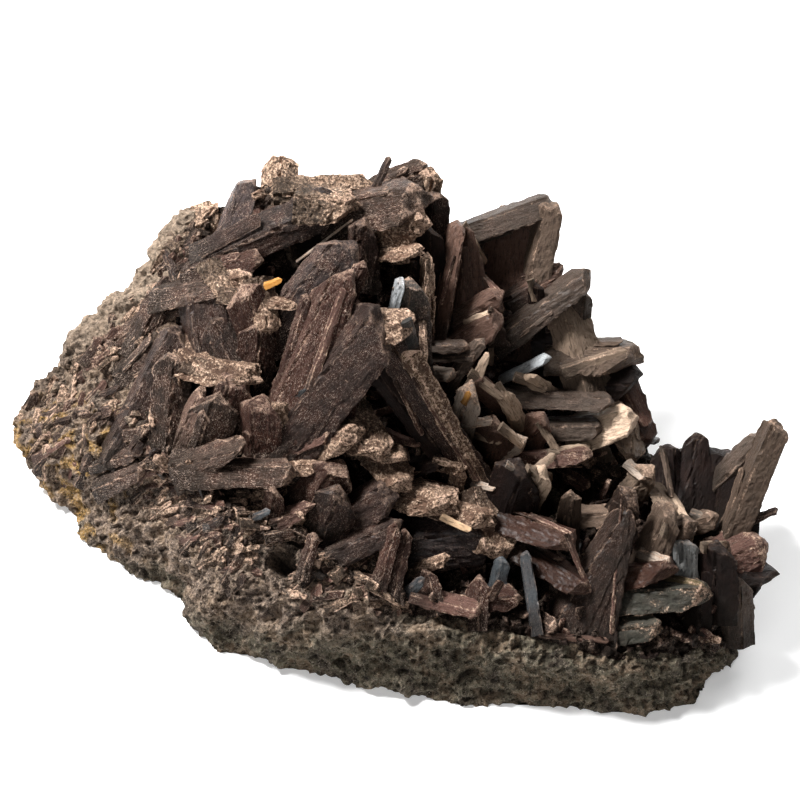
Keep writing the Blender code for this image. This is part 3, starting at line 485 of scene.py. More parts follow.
    ("grey_glass", (44.5, -30, 7), (44.6, -21.8, 9), 3.2, 2.8, "reflection_blue_glass", 0.95),
    ("lit_stub", (35.5, -27.8, 5), (43, -26.4, 11.5), 4.4, 4.4, "red_brown", 0.9, -35),
    ("yellow_bar", (34, -31.2, 7), (48.3, -30.6, 12), 4.6, 4.2, "green_grey", 0.9, -25),
    ("upright_block", (49.8, -32, 8), (49.8, -22.6, 10), 4.2, 4.4, "shade_black_brown", 0.9, -10),
    ("upright_side", (53.2, -36, 5), (53, -28, 8), 3.2, 3, "grey_clear", 0.9, 30),
    ("upright_panel", (47, -34, 9), (47.2, -29, 10), 2.4, 3, "shade_black_brown"),
    ("horn", (52, -22, -1), (59.6, -3.6, 4), 3.8, 3.2, "soft_tan", 0.95, -20),
    ("horn_ridge", (51.5, -12, -5), (57.2, -5.8, 1), 3, 2.8, "grey_clear", 0.6),
    # A near-black wall with fills between its blades: painted shade
    ("wall_peak", (46, -18, -6), (46.6, -5, -8), 10, 3.4, "shade_black_brown", 0.1, 10),
    ("wall_middle", (49, -20, -6), (50.2, -8, -8), 8, 3.4, "shade_black_brown", 0.9, -10),
    ("wall_right", (53, -18, -4), (54.4, -7.4, -4), 5.6, 3.4, "shade_black_brown", 0.8),
    ("wall_left", (42, -19, -5), (42, -7, -8), 3, 4, "shade_black_brown", 0.9, 50),
    ("wall_fill_left", (44, -20, -8), (44.2, -8, -10), 6, 3, "shade_black_brown", 1.0),
    ("wall_fill_right", (50.5, -20, -8), (50.6, -8, -10), 7, 3, "shade_black_brown", 1.0),
    ("right_splinter", (56, -18.6, 1), (59.6, -17.2, 3), 1, 1, "dark_brown", 0.7),
    ("right_lump_high", (50, -26, 0), (57.4, -22, 3), 5.6, 5, "pink_brown", 0.8),
    ("right_point", (50, -27.6, 0), (59.4, -27.4, 3.5), 7, 5, "shade_black_brown", 0.2, -20),
    ("right_lump_low", (50, -31, 1), (57, -29.2, 2), 5, 5, "shade_black_brown", 0.7),
    ("pale_facet", (36.8, -14.4, -4), (39.5, -10.8, 1), 3.2, 2.8, "tan_clear", 0.8),
    ("wall_facet", (45, -20, -4), (49.8, -18.4, -1), 2.6, 2.4, "soft_tan", 0.8),
    ("tan_hook", (40.5, -14.5, -3), (43.4, -18, 3), 2, 2.4, "tan_clear", 0.8),
    ("low_board", (34.5, -36.5, 10), (41, -35.6, 12), 3, 3, "green_grey", 0.9, -10),
], "accents": [
    ("amber_chip", (-23.6, 17.0, 1.4), (-18.6, 19.0, 1.6), 1.7, 0.4, "amber", 0.5),
    # A thin stick painted bright orange: a painted highlight
    ("orange_streak", (7.4, -18.8, 9), (11.2, -20.6, 10.2), 0.9, 0.5, "orange_highlight", 0.8),
    ("orange_chip", (10.4, 0.2, 3.8), (11.0, 1.4, 4.6), 0.9, 0.6, "amber", 0.7),
    ("silvery_fibre", (-16, 22, -2), (-7.4, 28.5, 1), 0.35, 0.3, "pale", 0.6),
    # Small bluish facets: painted glints
    ("blue_facet_left", (-23, -18.6, 7), (-20.6, -17.4, 9), 1.1, 0.6, "grey_glass", 0.8, 0, 20),
    ("blue_facet_front", (1.6, -30, 10), (3.8, -28.2, 12), 1.6, 0.8, "grey_glass", 0.8, 0, -10),
    ("blue_facet_slab", (-15.4, 1.4, 7), (-13.4, 3, 8.3), 1.2, 0.6, "grey_glass", 0.7, -10, 10),
]}

# Narrow lit edges of the crystals, as (across, up) at both ends, width and look
LIT_EDGES = [
    ((3.6, 12.4), (3.8, 5.4), 1.0, "tan_crust"), ((12.2, 3.4), (16.4, 0.4), 1.4, "tan_lit"),
    ((16.0, 0.8), (18.6, -3.2), 1.8, "tan_lit"), ((19.4, 3.2), (23.2, 1.6), 1.4, "tan_lit"),
    ((19.8, -1.6), (22.6, -4.6), 1.0, "pink_brown"), ((22.4, -4.4), (24.8, -8.0), 1.0, "tan_lit"),
    ((24.6, -8.2), (30.0, -7.2), 1.2, "tan_lit"), ((10.6, 12.6), (14.4, 13.9), 0.6, "tan_lit"),
    ((14.3, 14.0), (15.8, 11.0), 0.7, "pink_brown"), ((14.4, 9.0), (14.3, 4.6), 0.7, "tan_lit"),
    ((9.8, -3.8), (14.6, -3.2), 1.4, "pale"), ((16.8, -5.0), (19.4, -7.2), 1.3, "tan_lit"),
    ((35.2, -16.6), (33.4, -37.0), 0.7, "pink_brown"), ((22.6, -37.0), (33.0, -38.0), 0.6, "warm_brown"),
    ((41.4, -8.0), (42.9, -15.6), 0.7, "soft_tan"), ((43.0, -15.4), (46.4, -20.8), 1.0, "tan_lit"),
    ((51.8, -23.0), (51.6, -31.0), 0.6, "tan_clear"), ((48.2, -23.2), (51.6, -22.9), 1.5, "tan_lit"),
    ((39.0, -24.4), (42.4, -25.6), 1.6, "pale"), ((43.4, -28.6), (47.8, -29.6), 1.5, "ochre"),
    ((42.0, -20.6), (46.0, -22.0), 2.0, "tan_lit"), ((47.0, -18.2), (50.0, -19.0), 1.2, "pale"),
    ((10.4, 27.4), (13.6, 21.6), 0.6, "tan_lit"), ((13.4, 19.2), (16.2, 16.4), 0.6, "pink_brown"),
    ((8.6, 22.0), (6.6, 15.0), 0.6, "pink_brown"), ((19.6, 19.6), (25.4, 21.4), 0.5, "pink_brown"),
    ((20.8, 17.8), (21.4, 15.4), 1.1, "tan_lit"), ((28.0, 5.0), (36.0, 7.6), 2.2, "tan_clear"),
    ((26.4, -21.8), (30.0, -30.4), 0.6, "pink_brown"), ((21.0, -18.4), (27.0, -21.2), 0.6, "pink_brown"),
    ((20.4, -11.4), (23.8, -12.6), 2.2, "tan_lit"), ((36.8, -10.8), (38.8, -12.4), 1.6, "pale"),
    ((2.2, -11.4), (6.6, -9.6), 0.6, "tan_crust"), ((6.2, -9.6), (9.8, -10.6), 0.9, "tan_crust"),
    ((17.6, -10.6), (21.4, -13.0), 0.9, "pale"), ((20.6, -14.4), (22.0, -18.0), 0.6, "pink_brown"),
    ((-0.4, 2.6), (3.6, -5.6), 0.6, "pink_brown"), ((4.4, 21.0), (4.4, 9.6), 0.7, "tan_crust"),
    ((1.2, 11.8), (2.2, 8.2), 1.7, "reflection_blue_glass"), ((2.6, 3.0), (7.4, -5.0), 0.7, "pink_brown"),
    ((8.0, -6.0), (12.4, -12.8), 0.7, "pink_brown"), ((14.0, -1.6), (18.2, -0.2), 1.0, "tan_lit"),
    ((12.6, -5.6), (16.0, -6.6), 1.2, "tan_lit"), ((21.4, -11.0), (24.4, -8.6), 1.2, "tan_lit"),
    ((-13.8, 3.0), (-8.8, 17.6), 1.3, "pink_brown"), ((12.0, -13.2), (15.0, -13.8), 0.9, "pale"),
]

# Holes in the slope and hollows among the crystals, as (across, up, radius, depth)
HOLES = [
    (-18.5, -25.5, 2.3, 4.5), (-46.5, -6.5, 1.3, 3), (-42.5, -9.2, 1.1, 3), (-27.5, 27, 1.6, 3),
    (-13.5, 24.5, 3.6, 4), (23, -16, 1.8, 3.5), (20.5, 9, 2.2, 4), (49, -13, 3, 4),
]


def face_point(across, up, out):
    """The point, in millimetres, that stands out of the face and is seen at (across, up) on it."""
    nearness = 1.0 - out / EYE_DISTANCE
    return FACE_CENTRE + ACROSS * across * nearness + UP * up * nearness + OUT * out


def face_place(point):
    """A point in millimetres as (across, up, out) on the face."""
    offset = point - FACE_CENTRE
    out = offset.dot(OUT)
    nearness = 1.0 - out / EYE_DISTANCE
    return offset.dot(ACROSS) / nearness, offset.dot(UP) / nearness, out


def on_face(points):
    """Where points in millimetres are seen on the face, as rows of (across, up)."""
    offset = points - np.array(FACE_CENTRE)
    nearness = 1.0 - offset @ np.array(OUT) / EYE_DISTANCE
    return np.stack([offset @ np.array(ACROSS), offset @ np.array(UP)], axis=1) / nearness[:, None]


def depth_inside(places, outline):
    """How far places on the face lie inside an outline, in millimetres; less than 0 is outside."""
    x, y = places[:, 0], places[:, 1]
    inside = np.zeros(len(places), bool)
    nearest = np.full(len(places), np.inf)
    for (ax, ay), (bx, by) in zip(outline, outline[1:] + outline[:1]):
        if ay != by:
            inside ^= ((ay > y) != (by > y)) & (x < ax + (y - ay) / (by - ay) * (bx - ax))
        share = ((x - ax) * (bx - ax) + (y - ay) * (by - ay)) / ((bx - ax) ** 2 + (by - ay) ** 2)
        share = np.clip(share, 0.0, 1.0)
        nearest = np.minimum(nearest, np.hypot(ax + (bx - ax) * share - x, ay + (by - ay) * share - y))
    return np.where(inside, nearest, -nearest)


def smooth_noise(points, size, seed=0.0):
    """Smooth noise from about -1 to 1 at each point, with lumps of a size in millimetres."""
    return np.array([noise.noise(point) for point in (points / size + seed).tolist()])


def layered_noise(points, layers):
    """Smooth noise summed over layers of (lump size, height, seed)."""
    return sum(smooth_noise(points, size, seed) * height for size, height, seed in layers)


def grain_noise(points, size, seed=0.0):
    """For each point: the distance to the nearest grain's centre over the size, and that centre."""
    near, centres = [], []
    for point in (points / size + seed).tolist():
        distances, places = noise.voronoi(point)
        near.append(distances[0])
        centres.append(places[0][:])
    return np.array(near), np.array(centres)


def ramp(values, low, high):
    """0 at low, 1 at high, smooth between."""
    share = np.clip((values - low) / (high - low), 0.0, 1.0)
    return share * share * (3.0 - 2.0 * share)


def add_mesh(name, points, faces, node, material, attributes):
    """A piece from points in millimetres and faces, with one value or vector a point in each attribute."""
    points[:, 2] = np.maximum(points[:, 2], 0.0)
    mesh = bpy.data.meshes.new(name)
    mesh.from_pydata((points * MM).tolist(), [], [tuple(face) for face in faces])
    kinds = {1: ("FLOAT", "value"), 3: ("FLOAT_VECTOR", "vector"), 4: ("FLOAT_COLOR", "color")}
    for title, values in attributes.items():
        width = 1 if values.ndim == 1 else values.shape[1]
        kind, field = kinds[width]
        attribute = mesh.attributes.new(title, kind, "POINT")
        attribute.data.foreach_set(field, values.astype(np.float32).ravel())
    mesh.materials.append(material)
    piece = bpy.data.objects.new(name, mesh)
    bpy.context.scene.collection.objects.link(piece)
    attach(piece, "root")
    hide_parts(node)
    return piece


def finish_attributes(look, colour, count):
    """A look, in a colour, as attributes of a number of points."""
    return {
        "tint": np.tile((*colour, 1.0), (count, 1)),
        "crust": np.full(count, look.crust),
        "gloss": np.full(count, look.gloss),
        "dust": np.full(count, look.dust),
    }


def join_meshes(meshes):
    """Several meshes as one: points, faces and attributes."""
    points, faces, attributes = [], [], {}
    start = 0
    for mesh_points, mesh_faces, mesh_attributes in meshes:
        points.append(mesh_points)
        faces.append(mesh_faces + start)
        for title, values in mesh_attributes.items():
            attributes.setdefault(title, []).append(values)
        start += len(mesh_points)
    joined = {title: np.concatenate(values) for title, values in attributes.items()}
    return np.concatenate(points), np.concatenate(faces), joined


def fine_rock(cell):
    """The rock node's form in cells of a size: its points, normals and faces, in millimetres."""
    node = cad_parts["matrix"]
    copied = bpy.data.objects.new("rock_copy", node.data.copy())
    bpy.context.scene.collection.objects.link(copied)
    melt = copied.modifiers.new("melt", "REMESH")
    melt.mode = "VOXEL"
    melt.voxel_size = cell * MM
    mesh = bpy.data.meshes.new_from_object(copied.evaluated_get(bpy.context.evaluated_depsgraph_get()))
    points = np.empty(len(mesh.vertices) * 3)
    mesh.vertices.foreach_get("co", points)
    normals = np.empty(len(mesh.vertices) * 3)
    mesh.vertices.foreach_get("normal", normals)
    faces = [tuple(polygon.vertices) for polygon in mesh.polygons]
    bpy.data.objects.remove(copied)
    bpy.data.meshes.remove(mesh)
    return points.reshape(-1, 3) / MM, normals.reshape(-1, 3), faces


def rock_relief(points, settings):
    """How far the rock's grains, lumps and folds stand out at each point, less its pits, and the pits, which
    also set their painted shade.
    """
    near, _ = grain_noise(points, settings.grain_size / MM)
    crumbs = layered_noise(points, ROCK_CRUMBS)
    folds = FOLD_CREST
    for size, height, seed in ROCK_FOLDS:
        folds = folds - np.abs(smooth_noise(points, size, seed)) * height
    pits = ramp(layered_noise(points, ROCK_PITS), *PIT_EDGE)
    rise = (GRAIN_LEVEL - near) * settings.grain_rise / MM * GRAIN_SHARE
    rise = rise + crumbs + layered_noise(points, ROCK_LUMPS) + folds
    rise = rise - pits * settings.pit_depth / MM
    haze = upper_left_haze(on_face(points))
    rise = rise - haze * HAZE_SMOOTHING * (crumbs + folds - pits * settings.pit_depth / MM)
    return rise, pits * (1.0 - haze * HAZE_SMOOTHING)


def upper_left_haze(places):
    """How much paler and smoother the rock is at places on the face: its upper left, from 0 to 1."""
    return ramp(places[:, 1], *HAZE_UP) * ramp(-places[:, 0], *HAZE_LEFT)


def rust_spots(points, places):
    """How rusty the rock is at each point: spots at its left end, from 0 to 1."""
    across, up = places[:, 0], places[:, 1]
    left_end = ramp(-RUST_START - across + 6.0 * smooth_noise(points, 6.0, 2.0), -6.0, 4.0)
    above_rim = ramp(up, -30.0, -22.0)
    below_shoulder = ramp(-up, -3.0, 3.0)
    spots = ramp(smooth_noise(points, 2.6, 31.0), -0.02, 0.25)
    return left_end * above_rim * below_shoulder * spots


def olive_band(points, places):
    """How olive the rock is at each point: its low rim, rising to the right, from 0 to 1."""
    below = OLIVE_TOP - points[:, 2] + places[:, 0] * OLIVE_SLOPE + 3.0 * smooth_noise(points, 5.0, 12.0)
    return ramp(below, 0.0, 6.0)


def rock_shape(settings):
    """The rock's surface with grains, pits and holes: points, normals, faces and attributes."""
    points, normals, faces = fine_rock(settings.rock_cell / MM)
    rise, pits = rock_relief(points, settings)
    places = on_face(points)
    facing = normals @ np.array(OUT) > FACING_SLOPE
    for across, up, radius, depth in HOLES:
        away = np.hypot(places[:, 0] - across, places[:, 1] - up)
        well = ramp(radius * HOLE_FLARE - away, 0.0, radius * HOLE_WALL) * facing
        rise = rise * (1.0 - well) - well * depth
        # The holes also get the painted shade of the pits
        pits = np.maximum(pits, well * HOLE_SHADE)
    under = (normals[:, 2] < -0.8) & (points[:, 2] < 0.5)
    moved = normals * np.where(under, 0.0, rise)[:, None]
    moved[:, 2] *= ramp(points[:, 2], 0.0, FLAT_EDGE)
    points = points + moved
    points[:, 2] = np.maximum(points[:, 2], 0.0)
    attributes = {
        "place": points,
        "pit_shade": pits,
        "rust": rust_spots(points, places),
        "haze": upper_left_haze(places),
        "low": olive_band(points, places),
    }
    return points, normals, faces, attributes


def bed_shape(points, normals, faces, settings):
    """The bed of massive crystal: the rock's face raised inside the crystals' outline, in small facets."""
    places = on_face(points)
    inside = depth_inside(places, BED_OUTLINE)
    kept = (inside > 0.0) & (normals @ np.array(OUT) > BED_FACING)
    for across, up, radius, _ in HOLES:
        kept &= np.hypot(places[:, 0] - across, places[:, 1] - up) > radius * BED_OPENING
    index = np.full(len(points), -1)
    index[kept] = np.arange(kept.sum())
    bed_faces = [tuple(index[corner] for corner in face) for face in faces if all(kept[c] for c in face)]
    points, inside = points[kept], inside[kept]
    near, centres = grain_noise(points, FACET_SIZE, FACET_SEED)
    tilts = [smooth_noise(centres * 9.1, 1.0, seed) for seed in (1.0, 5.0, 8.0)]
    tilts = np.stack(tilts, axis=1) * FACET_TILT
    from_centre = (points / FACET_SIZE + FACET_SEED - centres) * FACET_SIZE
    rise = np.sum(from_centre * tilts, axis=1) * 0.8 + smooth_noise(centres * 5.3, 1.0, 2.0) * FACET_RISE
    rise = rise + layered_noise(points, BED_CRUMBS)
    lift = np.minimum(settings.bed_rise / MM, inside * BED_EDGE_SLOPE) - BED_SINK
    facets = np.clip(rise, *FACET_LIMITS) * ramp(inside, 0.0, BED_EDGE)
    raised = points + np.array(OUT) * (lift + facets)[:, None]
    look = LOOKS["bed"]
    attributes = {
        **finish_attributes(look, look.colour, len(raised)),
        "place": raised,
        "worn": ramp(near, 0.1, 0.5) * 0.5,
        # raised: how high the facet stands, which sets the painted highlight on crust tops
        "raised": np.clip(0.5 + rise * 0.3, 0.0, 1.0),
        # foot: painted shade on the bed's lower facets
        "foot": 1.0 - ramp(rise, 0.2, 1.8),
    }
    return raised, bed_faces, attributes


@functools.lru_cache
def box_lattice(counts):
    """A box's surface in a number of cells along each side: points from 0 to 1, and faces."""
    corners = []
    for axis in range(3):
        u, v = (axis + 1) % 3, (axis + 2) % 3
        i, j = np.meshgrid(np.arange(counts[u]), np.arange(counts[v]), indexing="ij")
        for side in (0, 1):
            cell = np.zeros((i.size, 4, 3), int)
            cell[:, :, axis] = side * counts[axis]
            steps = [(0, 0), (1, 0), (1, 1), (0, 1)] if side else [(0, 0), (0, 1), (1, 1), (1, 0)]
            for corner, (du, dv) in enumerate(steps):
                cell[:, corner, u] = i.ravel() + du
                cell[:, corner, v] = j.ravel() + dv
            corners.append(cell)
    corners = np.concatenate(corners)
    points, index = np.unique(corners.reshape(-1, 3), axis=0, return_inverse=True)
    return points / np.array(counts), index.reshape(-1, 4)


def lattice_counts(sizes, cell):
    """How many cells a box of a size takes along each side."""
    return tuple(max(2, round(size / cell)) for size in sizes)


def blade_axes(foot, tip, roll):
    """The directions across a blade, out of its broad face and along it, from points in millimetres."""
    along = (tip - foot).normalized()
    broad = (OUT - along * OUT.dot(along)).normalized()
    broad.rotate(Matrix.Rotation(math.radians(roll), 3, along))
    return along.cross(broad), broad, along


def blade_section(blade, side, face, reach, seed):
    """A blade's cross-section at each point: its skew rhomb, narrowed in shoulders towards the end."""
    wander = smooth_noise(np.stack([reach * 2.3, side * 0.4, face * 0.4], axis=1) + seed * 9.7, 1.0)
    shoulder = np.round(wander * SHOULDERS) / SHOULDERS
    narrow = (1.0 + (blade.taper - 1.0) * reach) * (1.0 + SHOULDER_WIDTH * shoulder * reach)
    thin = (1.0 + (END_THINNING - 1.0) * reach) * (1.0 - SHOULDER_WIDTH * shoulder * reach)
    x = side * 0.5 * blade.width * narrow + face * SKEW * blade.thickness
    y = face * 0.5 * blade.thickness * thin
    return x, y


def end_facets(blade, x, y, seed):
    """How far a blade's end stands past its length at each point: a slope, with a facet off each corner."""
    rng = random.Random(seed)
    slope = math.tan(math.radians(blade.cut)) + rng.uniform(*END_SLOPES)
    end = slope * x - math.tan(math.radians(END_LEAN)) * y
    half = 0.5 * blade.width * blade.taper
    for way in (-1, 1):
        steep, start = rng.uniform(*CORNER_SLOPES), rng.uniform(*CORNER_STARTS)
        end = np.minimum(end, steep * (half * start - way * x) + slope * way * half * start)
    return end


def blade_relief(look, place, stretched, size, wear):
    """The relief of a blade's faces, and the ribs along it and the crumbs on it alone."""
    ribs = layered_noise(stretched, RIBS)
    steps = np.round(smooth_noise(stretched, STEP_SIZE) * STEP_LEVELS) / STEP_LEVELS
    crumbs = layered_noise(place, CRUMBS)
    relief = ribs * (RIB_RISE + look.dust * RIB_RISE) + steps * STEP_RISE * (1.0 - look.crust * 0.6)
    relief = relief * size + crumbs * (CRUMB_RISE + look.crust * CRUST_RISE) * wear * size
    return relief, ribs, crumbs


def blade_mesh(blade, cell, wear, seed):
    """A crystal with striated and stepped faces, chipped edges and a splintered end."""
    foot, tip = face_point(*blade.foot), face_point(*blade.tip)
    across, broad, along = blade_axes(foot, tip, blade.roll)
    buried = min(ROOT, blade.width * ROOT_SHARE)
    root = foot - along * buried
    length = (tip - root).length
    look = LOOKS[blade.look]
    lattice, faces = box_lattice(lattice_counts((blade.width, blade.thickness, length * CELL_SHARE), cell))
    side, face, reach = lattice[:, 0] * 2 - 1, lattice[:, 1] * 2 - 1, lattice[:, 2]
    x, y = blade_section(blade, side, face, reach, seed)
    size = min(1.0, min(blade.width, blade.thickness) / FULL_RELIEF_WIDTH)

    place = np.stack([x, y, reach * length], axis=1) + seed * 3.1
    stretched = np.stack([x, y, reach * length * GRAIN_STRETCH], axis=1) + seed * 7.3
    relief, ribs, crumbs = blade_relief(look, place, stretched, size, wear)
    on_side, on_broad = np.abs(side) ** EDGE_SHARPNESS, np.abs(face) ** EDGE_SHARPNESS
    edge = on_side * on_broad
    chips = np.maximum(0.0, smooth_noise(place, CHIP_SIZE, 40.0) + CHIP_SHARE) * edge
    inward = (chips * (CHIP_DEPTH + CHIP_CRUST * look.crust) * wear + EDGE_ROUNDING * edge) * size
    x = x + np.sign(side) * on_side * (relief * SIDE_RELIEF - inward)
    y = y + np.sign(face) * on_broad * (relief - inward)

    splinters = smooth_noise(place, SPLINTER_SIZE) * (SPLINTER_RISE + look.crust) * wear * size
    past = end_facets(blade, x, y, seed) + splinters
    rim = np.maximum(np.abs(side), np.abs(face)) ** RIM_SHARPNESS
    z = reach * (length + past - rim * END_ROUNDING * size)

    points = np.array(root) + np.stack([x, y, z], axis=1) @ np.array([across, broad, along])
    end = ramp(reach, 1.0 - WORN_END / length, 1.0) * 0.8
    tint = np.array(look.colour) * random.Random(seed).uniform(*TINT_RANGE)
    attributes = {
        **finish_attributes(look, tint, len(x)),
        "place": np.stack([x + seed * 11.0, y + seed * 5.0, z], axis=1),
        "worn": np.clip(edge + end + ramp(crumbs, 0.15, 0.5) * 0.35, 0.0, 1.0),
        # raised: how high the crumbs stand, which sets the painted highlight on crust tops
        "raised": np.clip(0.5 + crumbs * 0.8 + ribs * 0.3, 0.0, 1.0),
        # foot: painted shade near the crystal's root
        "foot": 1.0 - ramp(z, buried * 0.6, buried + min(FOOT_SHADE_HEIGHT, 0.4 * length)),
    }
    return points, faces, attributes


def companions(blade, seed):
    """The thinner crystals grown side by side with a broad one, of other lengths."""
    rng = random.Random(seed)
    foot, tip = face_point(*blade.foot), face_point(*blade.tip)
    across, broad, along = blade_axes(foot, tip, blade.roll)
    length = (tip - foot).length
    if min(blade.width, length * 0.4) < COMPANION_WIDTH:
        return []
    grown = []
    for number in range(COMPANIONS):
        reach = rng.uniform(*COMPANION_REACHES)
        width = blade.width * rng.uniform(*COMPANION_WIDTHS)
        room = 0.5 * blade.width * (1.0 + (blade.taper - 1.0) * reach) - 0.4 * width
        sideways = rng.choice((-1, 1)) * rng.uniform(0.5, 1.0) * max(0.0, room)
        shift = across * sideways + broad * rng.uniform(-0.4, 0.3) * blade.thickness
        end = foot + along * length * reach - across * sideways * (1.0 - blade.taper) * reach
        end = end + across * rng.gauss(0.0, 0.04) * length
        taper = rng.uniform(*COMPANION_TAPERS)
        thickness = blade.thickness * rng.uniform(*COMPANION_THICKNESSES)
        roll, cut = blade.roll + rng.uniform(*COMPANION_ROLLS), rng.uniform(*COMPANION_CUTS)
        grown.append(Blade(
            f"{blade.name}_{number}", face_place(foot + shift), face_place(end + shift), width, thickness,
            blade.look, taper, roll, cut))
    return grown


def ground_tree(names):
    """Some pieces' surfaces, in millimetres, for finding where a line of sight meets them."""
    points, faces = [], []
    for name in names:
        mesh = bpy.data.objects[name].data
        start = len(points)
        points += [vertex.co / MM for vertex in mesh.vertices]
        faces += [[start + corner for corner in polygon.vertices] for polygon in mesh.polygons]
    return BVHTree.FromPolygons(points, faces)


def ground_out(ground, across, up):
    """How far out of the face the ground is at a place on it, in millimetres, or None beside it."""
    hit = ground.ray_cast(EYE, (face_point(across, up, 0.0) - EYE).normalized())[0]
    return None if hit is None else (hit - FACE_CENTRE).dot(OUT)


def near_hole(across, up):
    """Whether a place on the face is in a hole or at its rim."""
    return any(math.hypot(across - hole[0], up - hole[1]) < hole[2] + HOLE_MARGIN for hole in HOLES)


def inside_outline(across, up, outline, depth):
    """Whether a place on the face lies at least so deep inside an outline."""
    return depth_inside(np.array([[across, up]]), outline)[0] >= depth


def drawn_blade(rng, scatter, foot, tip, look):
    """A small crystal between two places on the face, with its sizes and turns drawn from a scatter."""
    drawn = (scatter.width, scatter.thickness, scatter.roll, scatter.cut, scatter.taper)
    width, thickness, roll, cut, taper = [rng.uniform(*limits) for limits in drawn]
    return Blade(scatter.name, foot, tip, width, thickness, look, taper, roll, cut)


def flat_flakes(ground, rng, share):
    """The flakes that lie flat on the rock, in their fields."""
    blades = []
    for outline, direction, count in FLAKE_FIELDS:
        corners = np.array(outline)
        low, high = corners.min(axis=0), corners.max(axis=0)
        for _ in range(round(count * share)):
            across, up = rng.uniform(low[0], high[0]), rng.uniform(low[1], high[1])
            turn, length = math.radians(rng.gauss(direction, FLAKE_SPREAD)), rng.uniform(*FLAKES.length)
            ahead = across + length * math.cos(turn), up + length * math.sin(turn)
            if not inside_outline(across, up, outline, 0.0) or near_hole(across, up) or near_hole(*ahead):
                continue
            out, ahead_out = ground_out(ground, across, up), ground_out(ground, *ahead)
            if out is None or ahead_out is None:
                continue
            look = rng.choice(FLAKES.looks)
            tip = (*ahead, ahead_out + rng.uniform(*FLAKE_LIFT))
            blades.append(drawn_blade(rng, FLAKES, (across, up, out - FLAKE_SINK), tip, look))
    return blades


def filler_crystals(ground, rng, count):
    """The small crystals that stand between the blades."""
    blades = []
    for _ in range(count):
        across, up = rng.uniform(*FILLER_ACROSS), rng.uniform(*FILLER_UP)
        if not inside_outline(across, up, BED_OUTLINE, FILLER_MARGIN):
            continue
        out = ground_out(ground, across, up)
        if out is None or near_hole(across, up):
            continue
        turn = math.radians(rng.uniform(-180, 180))
        spread, length = rng.uniform(*FILLER_SPREAD), rng.uniform(*FILLERS.length)
        reach = length * spread
        tip = (across + reach * math.cos(turn), up + reach * math.sin(turn), out + length * FILLER_STEEPNESS)
        look = rng.choice(FILLERS.looks)
        blades.append(drawn_blade(rng, FILLERS, (across, up, out - FILLER_SINK), tip, look))
    return blades


def lit_edges(standing):
    """The narrow crystals that edge the larger ones, laid where a line of sight meets those."""
    blades = []
    for foot, tip, width, look in LIT_EDGES:
        foot_out, tip_out = ground_out(standing, *foot), ground_out(standing, *tip)
        if foot_out is None or tip_out is None:
            continue
        ends = (*foot, foot_out), (*tip, tip_out)
        blades.append(Blade("edge", *ends, width, EDGE_THICKNESS, look))
    return blades


class Socket:
    """A node's output that adds Math nodes when it is used in an expression."""

    def __init__(self, shader, output):
        self.shader = shader
        self.output = output

    def maths(self, operation, first, second):
        return self.shader.node("ShaderNodeMath", {"operation": operation}, {0: first, 1: second}, "Value")

    def __add__(self, other):
        return self.maths("ADD", self, other)

    def __radd__(self, other):
        return self.maths("ADD", other, self)

    def __sub__(self, other):
        return self.maths("SUBTRACT", self, other)

    def __rsub__(self, other):
        return self.maths("SUBTRACT", other, self)

    def __mul__(self, other):
        return self.maths("MULTIPLY", self, other)

    def __rmul__(self, other):
        return self.maths("MULTIPLY", other, self)


class Shader:
    """A material being written: its nodes come from node()."""

    def __init__(self, name):
        self.material = bpy.data.materials.new(name)
        self.material.use_nodes = True
        self.tree = self.material.node_tree
        self.surface = self.tree.nodes["Principled BSDF"]

    def node(self, kind, settings, inputs, output):
        """A node of a type, with its settings, the values or links of its sockets, and one output."""
        made = self.tree.nodes.new(kind)
        for title, value in settings.items():
            setattr(made, title, value)
        for title, value in inputs.items():
            self.feed(made.inputs[title], value)
        return Socket(self, made.outputs[output])

    def feed(self, socket, value):
        """Sets a socket to a value, or links it. A colour's value has three numbers."""
        if isinstance(value, Socket):
            self.tree.links.new(value.output, socket)
        elif socket.type == "RGBA":
            socket.default_value = (*value, 1.0)
        else:
            socket.default_value = value

    def attribute(self, title, output="Fac"):
        return self.node("ShaderNodeAttribute", {"attribute_name": title}, {}, output)

    def noise(self, vector, scale, detail, roughness):
        inputs = {"Vector": vector, "Scale": scale, "Detail": detail, "Roughness": roughness}
        return self.node("ShaderNodeTexNoise", {}, inputs, "Fac")

    def stretch(self, vector, factors):
        return self.node("ShaderNodeVectorMath", {"operation": "MULTIPLY"}, {0: vector, 1: factors}, "Vector")

    def fade(self, value, low, high):
        """0 at low, 1 at high, even between."""
        inputs = {"Value": value, "From Min": low, "From Max": high, "To Min": 0.0, "To Max": 1.0}
        return self.node("ShaderNodeMapRange", {"clamp": True}, inputs, "Result")

    def mix(self, share, first, second):
        """From one colour, at 0, to another, at 1."""
        settings = {"data_type": "RGBA", "clamp_factor": True}
        return self.node("ShaderNodeMix", settings, {0: share, 6: first, 7: second}, 2)

    def coats(self, colour, coats):
        """A colour under coats, each a share and a colour."""
        for share, coat in coats:
            colour = self.mix(share, colour, coat)
        return colour

    def bump(self, height, strength, distance):
        inputs = {"Height": height, "Strength": strength, "Distance": distance}
        return self.node("ShaderNodeBump", {}, inputs, "Normal")

    def finish(self, **inputs):
        """Feeds the surface's sockets, named with underscores for spaces."""
        for title, value in inputs.items():
            self.feed(self.surface.inputs[title.replace("_", " ")], value)
        return self.material


